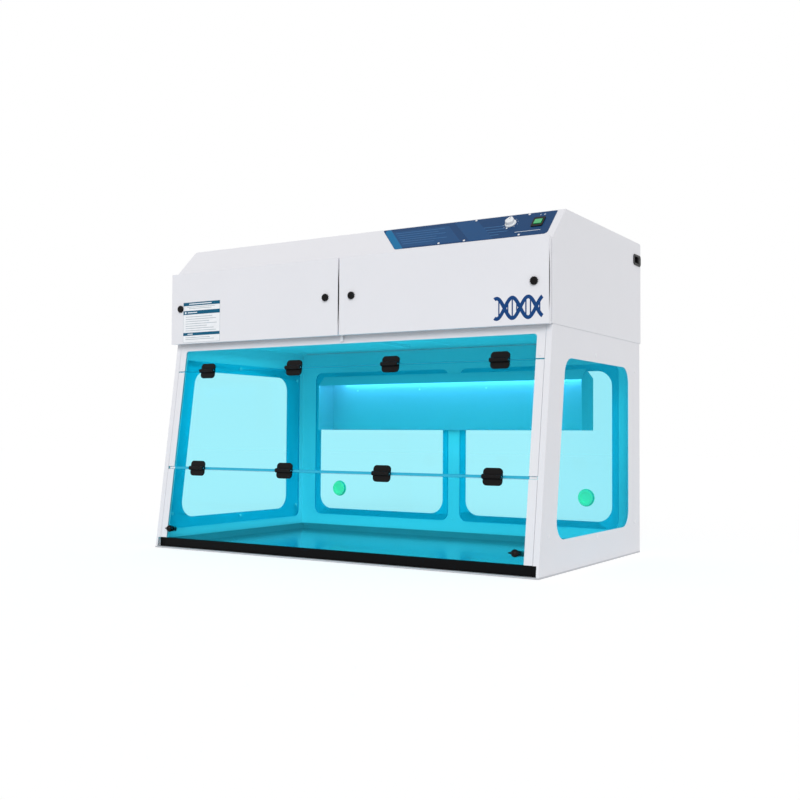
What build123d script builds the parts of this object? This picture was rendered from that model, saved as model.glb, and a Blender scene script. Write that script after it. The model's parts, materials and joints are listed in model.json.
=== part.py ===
from build123d import *
import math
import os

# Bench cabinet with a folded base, a hinged three-pane sash and a hood. Millimetres, +Z up, +Y to the rear.

# Cabinet body
HOOD_WIDTH = 1219.0
BASE_DEPTH = 700.0
BASE_HEIGHT = 612.0
SHEET = 1.5
BASE_PLATE_T = 4.0
SASH_LEAN = 7.7
FLANGE_W = 15.5
FLANGE_NOTCH_W = 9.0
FLANGE_NOTCH_RISE = 1.0

# Hood, measured from the base it sits on
HOOD_LAP = 12.0
HOOD_HEIGHT = 289.0
HOOD_FRONT_OVERHANG = 8.746
HOOD_REAR_OVERHANG = 6.0
SLOPE_RISE = 84.0
SLOPE_RUN = 82.0
HOOD_REAR_RADIUS = 6.0

# Windows in the side walls and the back wall
WINDOW_BOTTOM_Z = 81.0
WINDOW_TOP_MARGIN = 88.0
WINDOW_RADIUS = 45.0
SIDE_WINDOW_REAR_MARGIN = 92.0
SIDE_WINDOW_INSET = 88.0
SIDE_PANE_T = 4.0
SIDE_PANE_LAP_Z = 30.0
SIDE_PANE_LAP_Y = 65.0
SIDE_PANE_RADIUS = 20.0
BACK_WINDOW_IN_X = 42.0
BACK_WINDOW_MARGIN = 80.5
BACK_PANE_T = 4.0
BACK_PANE_LAP = 20.0
BACK_PANE_RADIUS = 25.0

# Port plugs in the back windows, measured from a window's lower outer corner
PORT_IN = 80.0
PORT_RISE = 69.0
PORT_BODY_R = 23.0
PORT_FLANGE_LAP = 3.0
PORT_FLANGE_T = 2.5
PORT_PROUD = 3.0
PORT_RIM = 8.0
PORT_DISH_DEPTH = 2.0
PORT_GRIP_W = 24.0
PORT_GRIP_T = 5.0
PORT_GRIP_L = 5.0

# Clearances
RUN_GAP = 0.05
MOVE_GAP = 0.3
SHANK_GAP = 0.5

# Tray, lip and work surface
TRAY_SIDE_GAP = 6.5
TRAY_FLOOR_T = 1.5
TRAY_RIM_H = 21.0
TRAY_WALL = 2.0
LIP_H = 25.5
LIP_SETBACK = 12.0
LIP_RETURN = 10.0
CAP_W = 14.7
CAP_JOINT = 0.3
CAP_DEPTH = 16.0
SURFACE_T = 1.5
SURFACE_GAP = 0.5

# Sash: its panes, from the beam down to the lip
PANE_T = 5.0
PANE_SIDE_GAP = 2.5
PANE_SETBACK = 1.5
STRIP_SHEET = 1.5
STRIP_W = 22.5
BEAM_SEEN_H = 35.0
TOP_PANE_SEEN_H = 61.5
LOWER_PANE_H = 201.5
UPPER_LINE_GAP = 3.0
LOWER_LINE_GAP = 8.0
TOP_PANE_LAP = 13.0
LOWER_PANE_GAP = 1.5
BEAM_END_GAP = 0.5
BEAM_FLANGE = 15.0
GUSSET_RADIUS = 8.0

# Hinges of the sash
HINGE_EDGE_X = 115.0
HINGE_SPACING = 317.0
HINGE_W = 52.0
HINGE_LEAF_H = 21.5
HINGE_LEAF_T = 4.0
HINGE_CORNER = 10.5
HINGE_BARREL_R = 6.0
HINGE_PROUD = 5.5
HINGE_KNUCKLE_W = 22.0
HINGE_PIN_R = 2.0
HINGE_LEAF_START = 1.5

# Latches on the lower pane
LATCH_EDGE_X = 40.0
LATCH_RISE = 25.5
LATCH_BALL_R = 9.5
LATCH_BALL_OUT = 10.5
LATCH_COLLAR_R = 8.0
LATCH_COLLAR_T = 4.0
LATCH_SHANK_R = 5.0
LATCH_SPINDLE_R = 3.0
LATCH_TIP_L = 17.0
LATCH_TIP_R = 5.0
LATCH_TIP_END_R = 1.5
CAM_T = 3.0
CAM_W = 13.0
CAM_GAP = 2.0
CAM_TAIL = 8.0

LEAN_TAN = math.tan(math.radians(SASH_LEAN))
LEAN_COS = math.cos(math.radians(SASH_LEAN))
LEAN_SIN = math.sin(math.radians(SASH_LEAN))
HALF = HOOD_WIDTH / 2
FRONT_Y = -BASE_DEPTH / 2
REAR_Y = BASE_DEPTH / 2
SIDE_X = HALF - SHEET
WALL_IN_X = SIDE_X - SHEET
BACK_FRONT_Y = REAR_Y - 2 * SHEET
FLANGE_X = SIDE_X - FLANGE_W
HOOD_BOTTOM_Z = BASE_HEIGHT - HOOD_LAP
HOOD_TOP_Z = HOOD_BOTTOM_Z + HOOD_HEIGHT
HOOD_FRONT_Y = FRONT_Y + BASE_HEIGHT * LEAN_TAN - HOOD_FRONT_OVERHANG
HOOD_REAR_Y = REAR_Y + HOOD_REAR_OVERHANG
SLOPE_FOOT_Z = HOOD_TOP_Z - SLOPE_RISE
SLOPE_HEAD_Y = HOOD_FRONT_Y + SLOPE_RUN
SLOPE_LENGTH = math.hypot(SLOPE_RUN, SLOPE_RISE)
WINDOW_TOP_Z = BASE_HEIGHT - WINDOW_TOP_MARGIN
SIDE_WINDOW_REAR_Y = REAR_Y - SIDE_WINDOW_REAR_MARGIN
BACK_WINDOW_OUT_X = WALL_IN_X - BACK_WINDOW_MARGIN
PORT_X = BACK_WINDOW_OUT_X - PORT_IN
PORT_Z = WINDOW_BOTTOM_Z + PORT_RISE
PORT_FLANGE_R = PORT_BODY_R + PORT_FLANGE_LAP
PORT_DISH_R = PORT_BODY_R - PORT_RIM
TRAY_HALF = WALL_IN_X - TRAY_SIDE_GAP
TRAY_RIM_TOP_Z = BASE_PLATE_T + TRAY_RIM_H
LIP_TOP_Z = BASE_PLATE_T + LIP_H
LIP_Y = FRONT_Y + LIP_SETBACK
LIP_HALF = TRAY_HALF - CAP_W - CAP_JOINT
FLANGE_NOTCH_TOP_Z = LIP_TOP_Z + FLANGE_NOTCH_RISE
PANE_HALF = FLANGE_X - PANE_SIDE_GAP
TOP_PANE_SEEN_Z = BASE_HEIGHT - BEAM_SEEN_H
UPPER_LINE_Z = TOP_PANE_SEEN_Z - TOP_PANE_SEEN_H
LOWER_PANE_FOOT_Z = LIP_TOP_Z + LOWER_PANE_GAP
LOWER_LINE_Z = LOWER_PANE_FOOT_Z + LOWER_PANE_H
BEAM_HALF = FLANGE_X - BEAM_END_GAP
HINGE_OUT_X = PANE_HALF - HINGE_EDGE_X
HINGE_IN_X = HINGE_OUT_X - HINGE_SPACING
HINGE_XS = (-HINGE_OUT_X, -HINGE_IN_X, HINGE_IN_X, HINGE_OUT_X)
LATCH_X = PANE_HALF - LATCH_EDGE_X
LATCH_Z = LOWER_PANE_FOOT_Z + LATCH_RISE
SASH_PLANE = Plane(origin=(0, FRONT_Y, 0), x_dir=(1, 0, 0), z_dir=(0, -LEAN_COS, LEAN_SIN))
SLOPE_PLANE = Plane(origin=(0, SLOPE_HEAD_Y, HOOD_TOP_Z), x_dir=(1, 0, 0),
                    z_dir=(0, -SLOPE_RISE / SLOPE_LENGTH, SLOPE_RUN / SLOPE_LENGTH))

parts = {}


def block(x0, x1, y0, y1, z0, z1):
    """Box between two corners."""
    return Pos((x0 + x1) / 2, (y0 + y1) / 2, (z0 + z1) / 2) * Box(x1 - x0, y1 - y0, z1 - z0)


def on_sash(x0, x1, v0, v1, w0, w1):
    """Box on the leaning sash plane: across, up the plane, out of it."""
    return SASH_PLANE.location * block(x0, x1, v0, v1, w0, w1)


def on_slope(x0, x1, s0, s1, w0, w1):
    """Box on the hood's slope: across, down from its top edge, out of it."""
    return SLOPE_PLANE.location * block(x0, x1, -s1, -s0, w0, w1)


def up(height):
    """Distance up the sash plane to a height above the bench."""
    return height / LEAN_COS


def front_y(height):
    """Depth of the sash plane at a height above the bench."""
    return FRONT_Y + height * LEAN_TAN


def side_plate(points, x0, x1, radius=0.0):
    """Plate cut to an outline of (y, z) points, from x0 to x1."""
    face = make_face(Polyline(*points, close=True))
    if radius > 0:
        face = fillet(face.vertices(), radius)
    return extrude(Plane.YZ.offset(x0) * face, amount=x1 - x0, dir=(1, 0, 0))


def rounded_back_plate(x0, x1, y0, y1, z0, z1, radius):
    """Upright plate with rounded corners, seen along Y."""
    plate = block(x0, x1, y0, y1, z0, z1)
    return fillet(plate.edges().filter_by(Axis.Y), radius)


def rod_y(radius, x, z, y0, y1):
    """Cylinder along Y."""
    return Pos(x, (y0 + y1) / 2, z) * Rot(90, 0, 0) * Cylinder(radius, y1 - y0)


def rod_x(radius, y, z, x0, x1):
    """Cylinder along X."""
    return Pos((x0 + x1) / 2, y, z) * Rot(0, 90, 0) * Cylinder(radius, x1 - x0)


def sash_rod(radius, x, v, w0, w1):
    """Cylinder square to the sash plane."""
    return SASH_PLANE.location * Pos(x, v, (w0 + w1) / 2) * Cylinder(radius, w1 - w0)


def slope_rod(radius, x, s, w0, w1):
    """Cylinder square to the hood's slope."""
    return SLOPE_PLANE.location * Pos(x, -s, (w0 + w1) / 2) * Cylinder(radius, w1 - w0)


def mirrored(shape):
    """The same piece on the other side of the cabinet."""
    return mirror(shape, about=Plane.YZ)


def group(shapes):
    """Separate solids kept as one node."""
    return Compound(children=[solid for shape in shapes for solid in shape.solids()])


# Base plate
parts["base_plate"] = block(-HALF, HALF, FRONT_Y, REAR_Y, 0, BASE_PLATE_T)

# Side walls with a folded front flange, top flange and rear flange
side_outline = [
    (front_y(BASE_PLATE_T), BASE_PLATE_T),
    (front_y(BASE_HEIGHT), BASE_HEIGHT),
    (REAR_Y, BASE_HEIGHT),
    (REAR_Y, BASE_PLATE_T),
]
side_wall = side_plate(side_outline, WALL_IN_X, SIDE_X)
front_flange = on_sash(FLANGE_X, SIDE_X, 0, up(BASE_HEIGHT) + FLANGE_W, -SHEET, 0)
front_flange &= block(FLANGE_X, SIDE_X, FRONT_Y - SHEET, REAR_Y, BASE_PLATE_T, BASE_HEIGHT)
front_flange -= block(FLANGE_X, FLANGE_X + FLANGE_NOTCH_W, FRONT_Y - SHEET, LIP_Y + CAP_DEPTH, 0, FLANGE_NOTCH_TOP_Z)
top_flange = block(FLANGE_X, SIDE_X, front_y(BASE_HEIGHT), REAR_Y, BASE_HEIGHT - SHEET, BASE_HEIGHT)
rear_flange = block(FLANGE_X, SIDE_X, REAR_Y - SHEET, REAR_Y, BASE_PLATE_T, BASE_HEIGHT)
side_window_outline = [
    (front_y(WINDOW_BOTTOM_Z) + SIDE_WINDOW_INSET, WINDOW_BOTTOM_Z),
    (front_y(WINDOW_TOP_Z) + SIDE_WINDOW_INSET, WINDOW_TOP_Z),
    (SIDE_WINDOW_REAR_Y, WINDOW_TOP_Z),
    (SIDE_WINDOW_REAR_Y, WINDOW_BOTTOM_Z),
]
window_cut = side_plate(side_window_outline, WALL_IN_X - SHEET, SIDE_X + SHEET, WINDOW_RADIUS)
pane_low = WINDOW_BOTTOM_Z - SIDE_PANE_LAP_Z
pane_high = WINDOW_TOP_Z + SIDE_PANE_LAP_Z
side_pane_outline = [
    (front_y(pane_low) + SIDE_WINDOW_INSET - SIDE_PANE_LAP_Y, pane_low),
    (front_y(pane_high) + SIDE_WINDOW_INSET - SIDE_PANE_LAP_Y, pane_high),
    (SIDE_WINDOW_REAR_Y + SIDE_PANE_LAP_Y, pane_high),
    (SIDE_WINDOW_REAR_Y + SIDE_PANE_LAP_Y, pane_low),
]
side_pane = side_plate(side_pane_outline, WALL_IN_X - SIDE_PANE_T, WALL_IN_X, SIDE_PANE_RADIUS)

# Screw caps round the side windows, outside the window's edges
SCREW_ABOVE = 18.5
SCREW_ABOVE_Y = 247.0
SCREW_BELOW = 10.0
SCREW_BELOW_Y = 240.0
SCREW_BEHIND = 50.0
SCREW_BEHIND_TOP = 6.0
SCREW_BEHIND_FOOT = 9.0
SCREW_AHEAD = 39.8
SCREW_AHEAD_FOOT = 13.0
ahead_z = WINDOW_BOTTOM_Z + SCREW_AHEAD_FOOT
WALL_SCREWS = (
    (SIDE_WINDOW_REAR_Y - SCREW_ABOVE_Y, WINDOW_TOP_Z + SCREW_ABOVE),
    (SIDE_WINDOW_REAR_Y + SCREW_BEHIND, WINDOW_TOP_Z - SCREW_BEHIND_TOP),
    (SIDE_WINDOW_REAR_Y + SCREW_BEHIND, WINDOW_BOTTOM_Z + SCREW_BEHIND_FOOT),
    (SIDE_WINDOW_REAR_Y - SCREW_BELOW_Y, WINDOW_BOTTOM_Z - SCREW_BELOW),
    (front_y(ahead_z) + SIDE_WINDOW_INSET - SCREW_AHEAD, ahead_z),
)
WALL_SCREW_HEAD_R = 6.0
WALL_SCREW_HEAD_T = 1.4
WALL_SCREW_SHANK_R = 2.0
WALL_SCREW_NUT_R = 5.0
WALL_SCREW_NUT_T = 2.5
wall_screws = []
side_right = side_wall + front_flange + top_flange + rear_flange - window_cut
for y, z in WALL_SCREWS:
    shank = rod_x(WALL_SCREW_SHANK_R, y, z, WALL_IN_X - SIDE_PANE_T, SIDE_X)
    side_right -= shank
    side_pane -= shank
    head = rod_x(WALL_SCREW_HEAD_R, y, z, SIDE_X, SIDE_X + WALL_SCREW_HEAD_T)
    nut_x = WALL_IN_X - SIDE_PANE_T
    nut = rod_x(WALL_SCREW_NUT_R, y, z, nut_x - WALL_SCREW_NUT_T, nut_x)
    screw = head + shank + nut
    wall_screws += [screw, mirrored(screw)]
parts["side_panel_right"] = side_right
parts["side_panel_left"] = mirrored(side_right)
parts["side_window_right"] = side_pane
parts["side_window_left"] = mirrored(side_pane)
parts["wall_screws"] = group(wall_screws)

# Back wall with two windows, their panes and the port holes
back_panel = block(-WALL_IN_X, WALL_IN_X, BACK_FRONT_Y, REAR_Y - SHEET, BASE_PLATE_T, BASE_HEIGHT - SHEET)
back_window_cut = rounded_back_plate(BACK_WINDOW_IN_X, BACK_WINDOW_OUT_X, BACK_FRONT_Y - SHEET, REAR_Y + SHEET,
                                     WINDOW_BOTTOM_Z, WINDOW_TOP_Z, WINDOW_RADIUS)
back_panel -= back_window_cut
back_panel -= mirrored(back_window_cut)
parts["back_panel"] = back_panel
BACK_PANE_Y = BACK_FRONT_Y - BACK_PANE_T
back_pane = rounded_back_plate(BACK_WINDOW_IN_X - BACK_PANE_LAP, BACK_WINDOW_OUT_X + BACK_PANE_LAP, BACK_PANE_Y, BACK_FRONT_Y,
                               WINDOW_BOTTOM_Z - BACK_PANE_LAP, WINDOW_TOP_Z + BACK_PANE_LAP, BACK_PANE_RADIUS)
back_pane -= rod_y(PORT_BODY_R + MOVE_GAP, PORT_X, PORT_Z, BACK_PANE_Y - SHEET, BACK_FRONT_Y + SHEET)
parts["back_windows"] = group([back_pane, mirrored(back_pane)])
port_flange_y = BACK_FRONT_Y + MOVE_GAP
port_plug = rod_y(PORT_BODY_R, PORT_X, PORT_Z, BACK_PANE_Y - PORT_PROUD, port_flange_y)
port_plug += rod_y(PORT_FLANGE_R, PORT_X, PORT_Z, port_flange_y, port_flange_y + PORT_FLANGE_T)
port_plug -= rod_y(PORT_DISH_R, PORT_X, PORT_Z, BACK_PANE_Y - PORT_PROUD, BACK_PANE_Y - PORT_PROUD + PORT_DISH_DEPTH)
grip_y = port_flange_y + PORT_FLANGE_T
port_plug += block(PORT_X - PORT_GRIP_W / 2, PORT_X + PORT_GRIP_W / 2, grip_y, grip_y + PORT_GRIP_L,
                   PORT_Z - PORT_GRIP_T / 2, PORT_Z + PORT_GRIP_T / 2)
parts["port_plug_right"] = port_plug
parts["port_plug_left"] = mirrored(port_plug)

# Black tray with a front lip and a raised rim, end caps beside the lip, stainless work surface inside
tray_rear_y = BACK_FRONT_Y
cap_rear_y = LIP_Y + CAP_DEPTH
rim_low = BASE_PLATE_T
floor_top = BASE_PLATE_T + TRAY_FLOOR_T
tray = block(-TRAY_HALF, TRAY_HALF, cap_rear_y, tray_rear_y, rim_low, floor_top)
tray += block(-LIP_HALF, LIP_HALF, LIP_Y, cap_rear_y, rim_low, floor_top)
tray += block(-LIP_HALF, LIP_HALF, LIP_Y, LIP_Y + TRAY_WALL, rim_low, LIP_TOP_Z)
tray += block(-LIP_HALF, LIP_HALF, LIP_Y, LIP_Y + LIP_RETURN, LIP_TOP_Z - TRAY_WALL, LIP_TOP_Z)
tray += block(-TRAY_HALF, TRAY_HALF, tray_rear_y - TRAY_WALL, tray_rear_y, rim_low, TRAY_RIM_TOP_Z)
for side in (-1, 1):
    rim_x = sorted((side * TRAY_HALF, side * (TRAY_HALF - TRAY_WALL)))
    tray += block(rim_x[0], rim_x[1], cap_rear_y, tray_rear_y, rim_low, TRAY_RIM_TOP_Z)
parts["work_tray"] = tray
end_cap = block(LIP_HALF + CAP_JOINT, TRAY_HALF, LIP_Y, cap_rear_y, rim_low, LIP_TOP_Z)
end_cap -= block(LIP_HALF + CAP_JOINT + TRAY_WALL, TRAY_HALF - TRAY_WALL, LIP_Y + TRAY_WALL, cap_rear_y - TRAY_WALL,
                 rim_low, LIP_TOP_Z - TRAY_WALL)
parts["tray_end_caps"] = group([end_cap, mirrored(end_cap)])
surface_half = TRAY_HALF - TRAY_WALL - SURFACE_GAP
surface = block(-surface_half, surface_half, cap_rear_y + SURFACE_GAP, tray_rear_y - TRAY_WALL - SURFACE_GAP,
                floor_top, floor_top + SURFACE_T)
surface += block(-LIP_HALF + SURFACE_GAP, LIP_HALF - SURFACE_GAP, LIP_Y + TRAY_WALL + SURFACE_GAP, cap_rear_y + SURFACE_GAP,
                 floor_top, floor_top + SURFACE_T)
parts["work_surface"] = surface

# White beam under the covers, with small rounded corners over the top pane
strip_in_x = PANE_HALF + STRIP_SHEET - STRIP_W
beam_low = up(TOP_PANE_SEEN_Z)
beam = on_sash(-BEAM_HALF, BEAM_HALF, beam_low, up(BASE_HEIGHT) + BEAM_FLANGE, -SHEET, 0)
beam += block(-BEAM_HALF, BEAM_HALF, front_y(BASE_HEIGHT), front_y(BASE_HEIGHT) + BEAM_FLANGE, BASE_HEIGHT - SHEET, BASE_HEIGHT)
beam &= block(-BEAM_HALF, BEAM_HALF, FRONT_Y, REAR_Y, LIP_TOP_Z, BASE_HEIGHT)
gusset = on_sash(strip_in_x - GUSSET_RADIUS, strip_in_x, beam_low - GUSSET_RADIUS, beam_low, -SHEET, 0)
gusset -= sash_rod(GUSSET_RADIUS, strip_in_x - GUSSET_RADIUS, beam_low - GUSSET_RADIUS, -2 * SHEET, SHEET)
parts["top_front_beam"] = beam + gusset + mirrored(gusset)

# Panes and their white edge strips
pane_face = -PANE_SETBACK
pane_back = pane_face - PANE_T


def pane(foot, head):
    """Tinted pane between two distances up the sash plane."""
    return on_sash(-PANE_HALF, PANE_HALF, foot, head, pane_back, pane_face)


def strips(foot, head):
    """Folded strip over each side edge of a pane."""
    outer = PANE_HALF + STRIP_SHEET
    strip = on_sash(strip_in_x, outer, foot, head, pane_face, pane_face + STRIP_SHEET)
    strip += on_sash(PANE_HALF, outer, foot, head, pane_back - STRIP_SHEET, pane_face + STRIP_SHEET)
    strip += on_sash(strip_in_x, outer, foot, head, pane_back - STRIP_SHEET, pane_back)
    return group([strip, mirrored(strip)])


upper_line = up(UPPER_LINE_Z)
lower_line = up(LOWER_LINE_Z)
top_foot = upper_line + UPPER_LINE_GAP / 2
middle_head = upper_line - UPPER_LINE_GAP / 2
middle_foot = lower_line + LOWER_LINE_GAP / 2
lower_head = lower_line - LOWER_LINE_GAP / 2
lower_foot = up(LOWER_PANE_FOOT_Z)
parts["pane_top"] = pane(top_foot, beam_low + TOP_PANE_LAP)
parts["strips_top"] = strips(top_foot, beam_low)
parts["pane_middle"] = pane(middle_foot, middle_head)
parts["strips_middle"] = strips(middle_foot, middle_head)

# Hinges: a leaf above and a leaf below each line, with interleaved knuckles on one pin
knuckle_half = HINGE_KNUCKLE_W / 2


def leaf(x, line, side, centre_knuckle):
    """Hinge leaf above (side 1) or below (side -1) a hinge line, with its own knuckles."""
    near = line + side * HINGE_LEAF_START
    far = line + side * HINGE_LEAF_H
    low, high = sorted((near, far))
    plate = block(x - HINGE_W / 2, x + HINGE_W / 2, low, high, pane_face, pane_face + HINGE_LEAF_T)
    outer_edges = plate.edges().filter_by(Axis.Z).sort_by(Axis.Y)
    outer_edges = outer_edges[-2:] if side > 0 else outer_edges[:2]
    plate = fillet(outer_edges, HINGE_CORNER)
    if centre_knuckle:
        own = [(x - knuckle_half + MOVE_GAP, x + knuckle_half - MOVE_GAP)]
        other = [(x - HINGE_W / 2, x - knuckle_half), (x + knuckle_half, x + HINGE_W / 2)]
    else:
        own = [(x - HINGE_W / 2, x - knuckle_half), (x + knuckle_half, x + HINGE_W / 2)]
        other = [(x - knuckle_half, x + knuckle_half)]
    for x0, x1 in other:
        plate -= rod_x(HINGE_BARREL_R + MOVE_GAP, line, HINGE_PROUD, x0, x1)
    for x0, x1 in own:
        block_low, block_high = sorted((line, line + side * HINGE_BARREL_R))
        knuckle = rod_x(HINGE_BARREL_R, line, HINGE_PROUD, x0, x1)
        knuckle += block(x0, x1, block_low, block_high, pane_face, HINGE_PROUD)
        plate += knuckle
    plate -= rod_x(HINGE_PIN_R + RUN_GAP, line, HINGE_PROUD, x - HINGE_W / 2, x + HINGE_W / 2)
    return SASH_PLANE.location * plate


def pins(line):
    """Pins through the knuckles of one hinge line."""
    return group([SASH_PLANE.location * rod_x(HINGE_PIN_R, line, HINGE_PROUD, x - HINGE_W / 2, x + HINGE_W / 2) for x in HINGE_XS])


parts["hinge_leaves_top"] = group([leaf(x, upper_line, 1, False) for x in HINGE_XS])
parts["hinge_pins_upper"] = pins(upper_line)
middle_leaves = [leaf(x, upper_line, -1, True) for x in HINGE_XS]
middle_leaves += [leaf(x, lower_line, 1, False) for x in HINGE_XS]
parts["hinge_leaves_middle"] = group(middle_leaves)
parts["hinge_pins_lower"] = pins(lower_line)
parts["hinge_leaves_lower"] = group([leaf(x, lower_line, -1, True) for x in HINGE_XS])

# Lower pane with its two latches: a ball knob outside and a cam arm behind the pane
latch_v = up(LATCH_Z)
cam_face = pane_back - CAM_GAP
cam_back = cam_face - CAM_T
lower_pane = pane(lower_foot, lower_head)
latch_knob = SASH_PLANE.location * Pos(LATCH_X, latch_v, LATCH_BALL_OUT) * Sphere(LATCH_BALL_R)
latch_knob += sash_rod(LATCH_SHANK_R, LATCH_X, latch_v, pane_face + MOVE_GAP, LATCH_BALL_OUT)
latch_knob += sash_rod(LATCH_COLLAR_R, LATCH_X, latch_v, pane_face + MOVE_GAP, pane_face + MOVE_GAP + LATCH_COLLAR_T)
latch_knob += sash_rod(LATCH_SPINDLE_R, LATCH_X, latch_v, cam_back, pane_face + MOVE_GAP + LATCH_COLLAR_T)
tip = Pos(LATCH_X - LATCH_TIP_L / 2, latch_v, LATCH_BALL_OUT) * Rot(0, -90, 0)
tip *= Cone(LATCH_TIP_R, LATCH_TIP_END_R, LATCH_TIP_L)
latch_knob += SASH_PLANE.location * tip
cam = block(LATCH_X - CAM_TAIL, PANE_HALF, latch_v - CAM_W / 2, latch_v + CAM_W / 2, cam_back, cam_face)
cam = fillet(cam.edges().filter_by(Axis.Z), CAM_W / 3)
cam = SASH_PLANE.location * cam
cam -= sash_rod(LATCH_SPINDLE_R, LATCH_X, latch_v, cam_back, cam_face)
for side in (-1, 1):
    lower_pane -= sash_rod(LATCH_SPINDLE_R + MOVE_GAP, side * LATCH_X, latch_v, pane_back, pane_face)
parts["pane_lower"] = lower_pane
parts["strips_lower"] = strips(lower_foot, lower_head)
parts["latch_knob_right"] = latch_knob
parts["latch_knob_left"] = Pos(-2 * LATCH_X, 0, 0) * latch_knob
parts["latch_cam_right"] = cam
parts["latch_cam_left"] = mirrored(cam)

# Hood shell: folded sides, top, slope and front, open below, with access openings behind the covers
ACCESS_IN_X = 62.0
ACCESS_SIDE_MARGIN = 57.5
ACCESS_LOW_MARGIN = 22.0
ACCESS_HIGH_MARGIN = 21.0
ACCESS_RADIUS = 12.0
SLOT_W = 4.0
SLOT_L = 150.0
SLOT_PITCH = 14.0
SLOT_COUNT = 24
SLOT_FIELD_X = 142.0
SLOT_BACK_SET = 376.0
ACCESS_OUT_X = HALF - ACCESS_SIDE_MARGIN
ACCESS_LOW_Z = HOOD_BOTTOM_Z + ACCESS_LOW_MARGIN
ACCESS_HIGH_Z = SLOPE_FOOT_Z - ACCESS_HIGH_MARGIN
SLOT_FRONT_Y = HOOD_REAR_Y - SLOT_BACK_SET
hood_outline = [
    (HOOD_FRONT_Y, HOOD_BOTTOM_Z),
    (HOOD_FRONT_Y, SLOPE_FOOT_Z),
    (SLOPE_HEAD_Y, HOOD_TOP_Z),
    (HOOD_REAR_Y, HOOD_TOP_Z),
    (HOOD_REAR_Y, HOOD_BOTTOM_Z),
]
outer_face = make_face(Polyline(*hood_outline, close=True))
inner_face = offset(outer_face, amount=-SHEET, kind=Kind.INTERSECTION)
inner_face += Pos((HOOD_FRONT_Y + HOOD_REAR_Y) / 2, HOOD_BOTTOM_Z) * Rectangle(HOOD_REAR_Y - HOOD_FRONT_Y - 2 * SHEET, 4 * SHEET)
top_corner = outer_face.vertices().filter_by(lambda v: abs(v.X - HOOD_REAR_Y) < 1 and abs(v.Y - HOOD_TOP_Z) < 1)
outer_face = fillet(top_corner, HOOD_REAR_RADIUS)
inner_corner = inner_face.vertices().filter_by(lambda v: abs(v.X - HOOD_REAR_Y + SHEET) < 1 and abs(v.Y - HOOD_TOP_Z + SHEET) < 1)
inner_face = fillet(inner_corner, HOOD_REAR_RADIUS - SHEET)
hood = extrude(Plane.YZ.offset(-HALF) * outer_face, amount=HOOD_WIDTH, dir=(1, 0, 0))
hood -= extrude(Plane.YZ.offset(-SIDE_X) * inner_face, amount=2 * SIDE_X, dir=(1, 0, 0))
access_cut = rounded_back_plate(ACCESS_IN_X, ACCESS_OUT_X, HOOD_FRONT_Y - SHEET, HOOD_FRONT_Y + 2 * SHEET,
                                ACCESS_LOW_Z, ACCESS_HIGH_Z, ACCESS_RADIUS)
hood -= access_cut
hood -= mirrored(access_cut)
slots = []
for index in range(SLOT_COUNT):
    slot_x = SLOT_FIELD_X + index * SLOT_PITCH
    slot = block(slot_x, slot_x + SLOT_W, SLOT_FRONT_Y, SLOT_FRONT_Y + SLOT_L, HOOD_TOP_Z - 2 * SHEET, HOOD_TOP_Z + SHEET)
    slots += [slot, mirrored(slot)]
hood -= slots

# Deck of the hood, carried on the side walls, with a perforated diffuser under each filter
FILTER_IN_X = 67.0
FILTER_END_GAP = 61.0
FILTER_L = 430.0
FILTER_FRONT_GAP = 48.5
FILTER_H = 69.0
FILTER_WALL = 16.0
FILTER_SEAL_T = 4.0
DIFFUSER_LAP = 8.0
DIFFUSER_DROP = 8.0
DIFFUSER_SLOT_W = 3.5
DIFFUSER_SLOT_PITCH = 14.0
DIFFUSER_EDGE = 18.0
inner_front_y = HOOD_FRONT_Y + SHEET
inner_rear_y = HOOD_REAR_Y - SHEET
FILTER_OUT_X = SIDE_X - FILTER_END_GAP
FILTER_FRONT_Y = inner_front_y + FILTER_FRONT_GAP
FILTER_REAR_Y = FILTER_FRONT_Y + FILTER_L
deck_top = BASE_HEIGHT + SHEET
deck = block(-SIDE_X, SIDE_X, inner_front_y, inner_rear_y, BASE_HEIGHT, deck_top)
clear_x0 = FILTER_IN_X + FILTER_WALL
clear_x1 = FILTER_OUT_X - FILTER_WALL
clear_y0 = FILTER_FRONT_Y + FILTER_WALL
clear_y1 = FILTER_REAR_Y - FILTER_WALL
deck_cut = block(clear_x0, clear_x1, clear_y0, clear_y1, BASE_HEIGHT - SHEET, deck_top + SHEET)
deck -= deck_cut
deck -= mirrored(deck_cut)
parts["hood_deck"] = deck
pan_x0 = clear_x0 - DIFFUSER_LAP
pan_x1 = clear_x1 + DIFFUSER_LAP
pan_y0 = clear_y0 - DIFFUSER_LAP
pan_y1 = clear_y1 + DIFFUSER_LAP
pan_low = BASE_HEIGHT - DIFFUSER_DROP
diffuser = block(pan_x0, pan_x1, pan_y0, pan_y1, pan_low, BASE_HEIGHT)
diffuser -= block(pan_x0 + SHEET, pan_x1 - SHEET, pan_y0 + SHEET, pan_y1 - SHEET, pan_low + SHEET, BASE_HEIGHT)
slot_space = pan_x1 - pan_x0 - 2 * DIFFUSER_EDGE
diffuser_slots = []
for index in range(int(slot_space // DIFFUSER_SLOT_PITCH)):
    slot_x = pan_x0 + DIFFUSER_EDGE + index * DIFFUSER_SLOT_PITCH
    diffuser_slots.append(block(slot_x, slot_x + DIFFUSER_SLOT_W, pan_y0 + DIFFUSER_EDGE, pan_y1 - DIFFUSER_EDGE,
                                pan_low - SHEET, pan_low + 2 * SHEET))
diffuser -= diffuser_slots
parts["diffusers"] = group([diffuser, mirrored(diffuser)])
seal_top = deck_top + FILTER_SEAL_T
seal = block(FILTER_IN_X, FILTER_OUT_X, FILTER_FRONT_Y, FILTER_REAR_Y, deck_top, seal_top)
seal -= block(clear_x0, clear_x1, clear_y0, clear_y1, deck_top, seal_top)
parts["filter_seals"] = group([seal, mirrored(seal)])
frame_top = seal_top + FILTER_H
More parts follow.
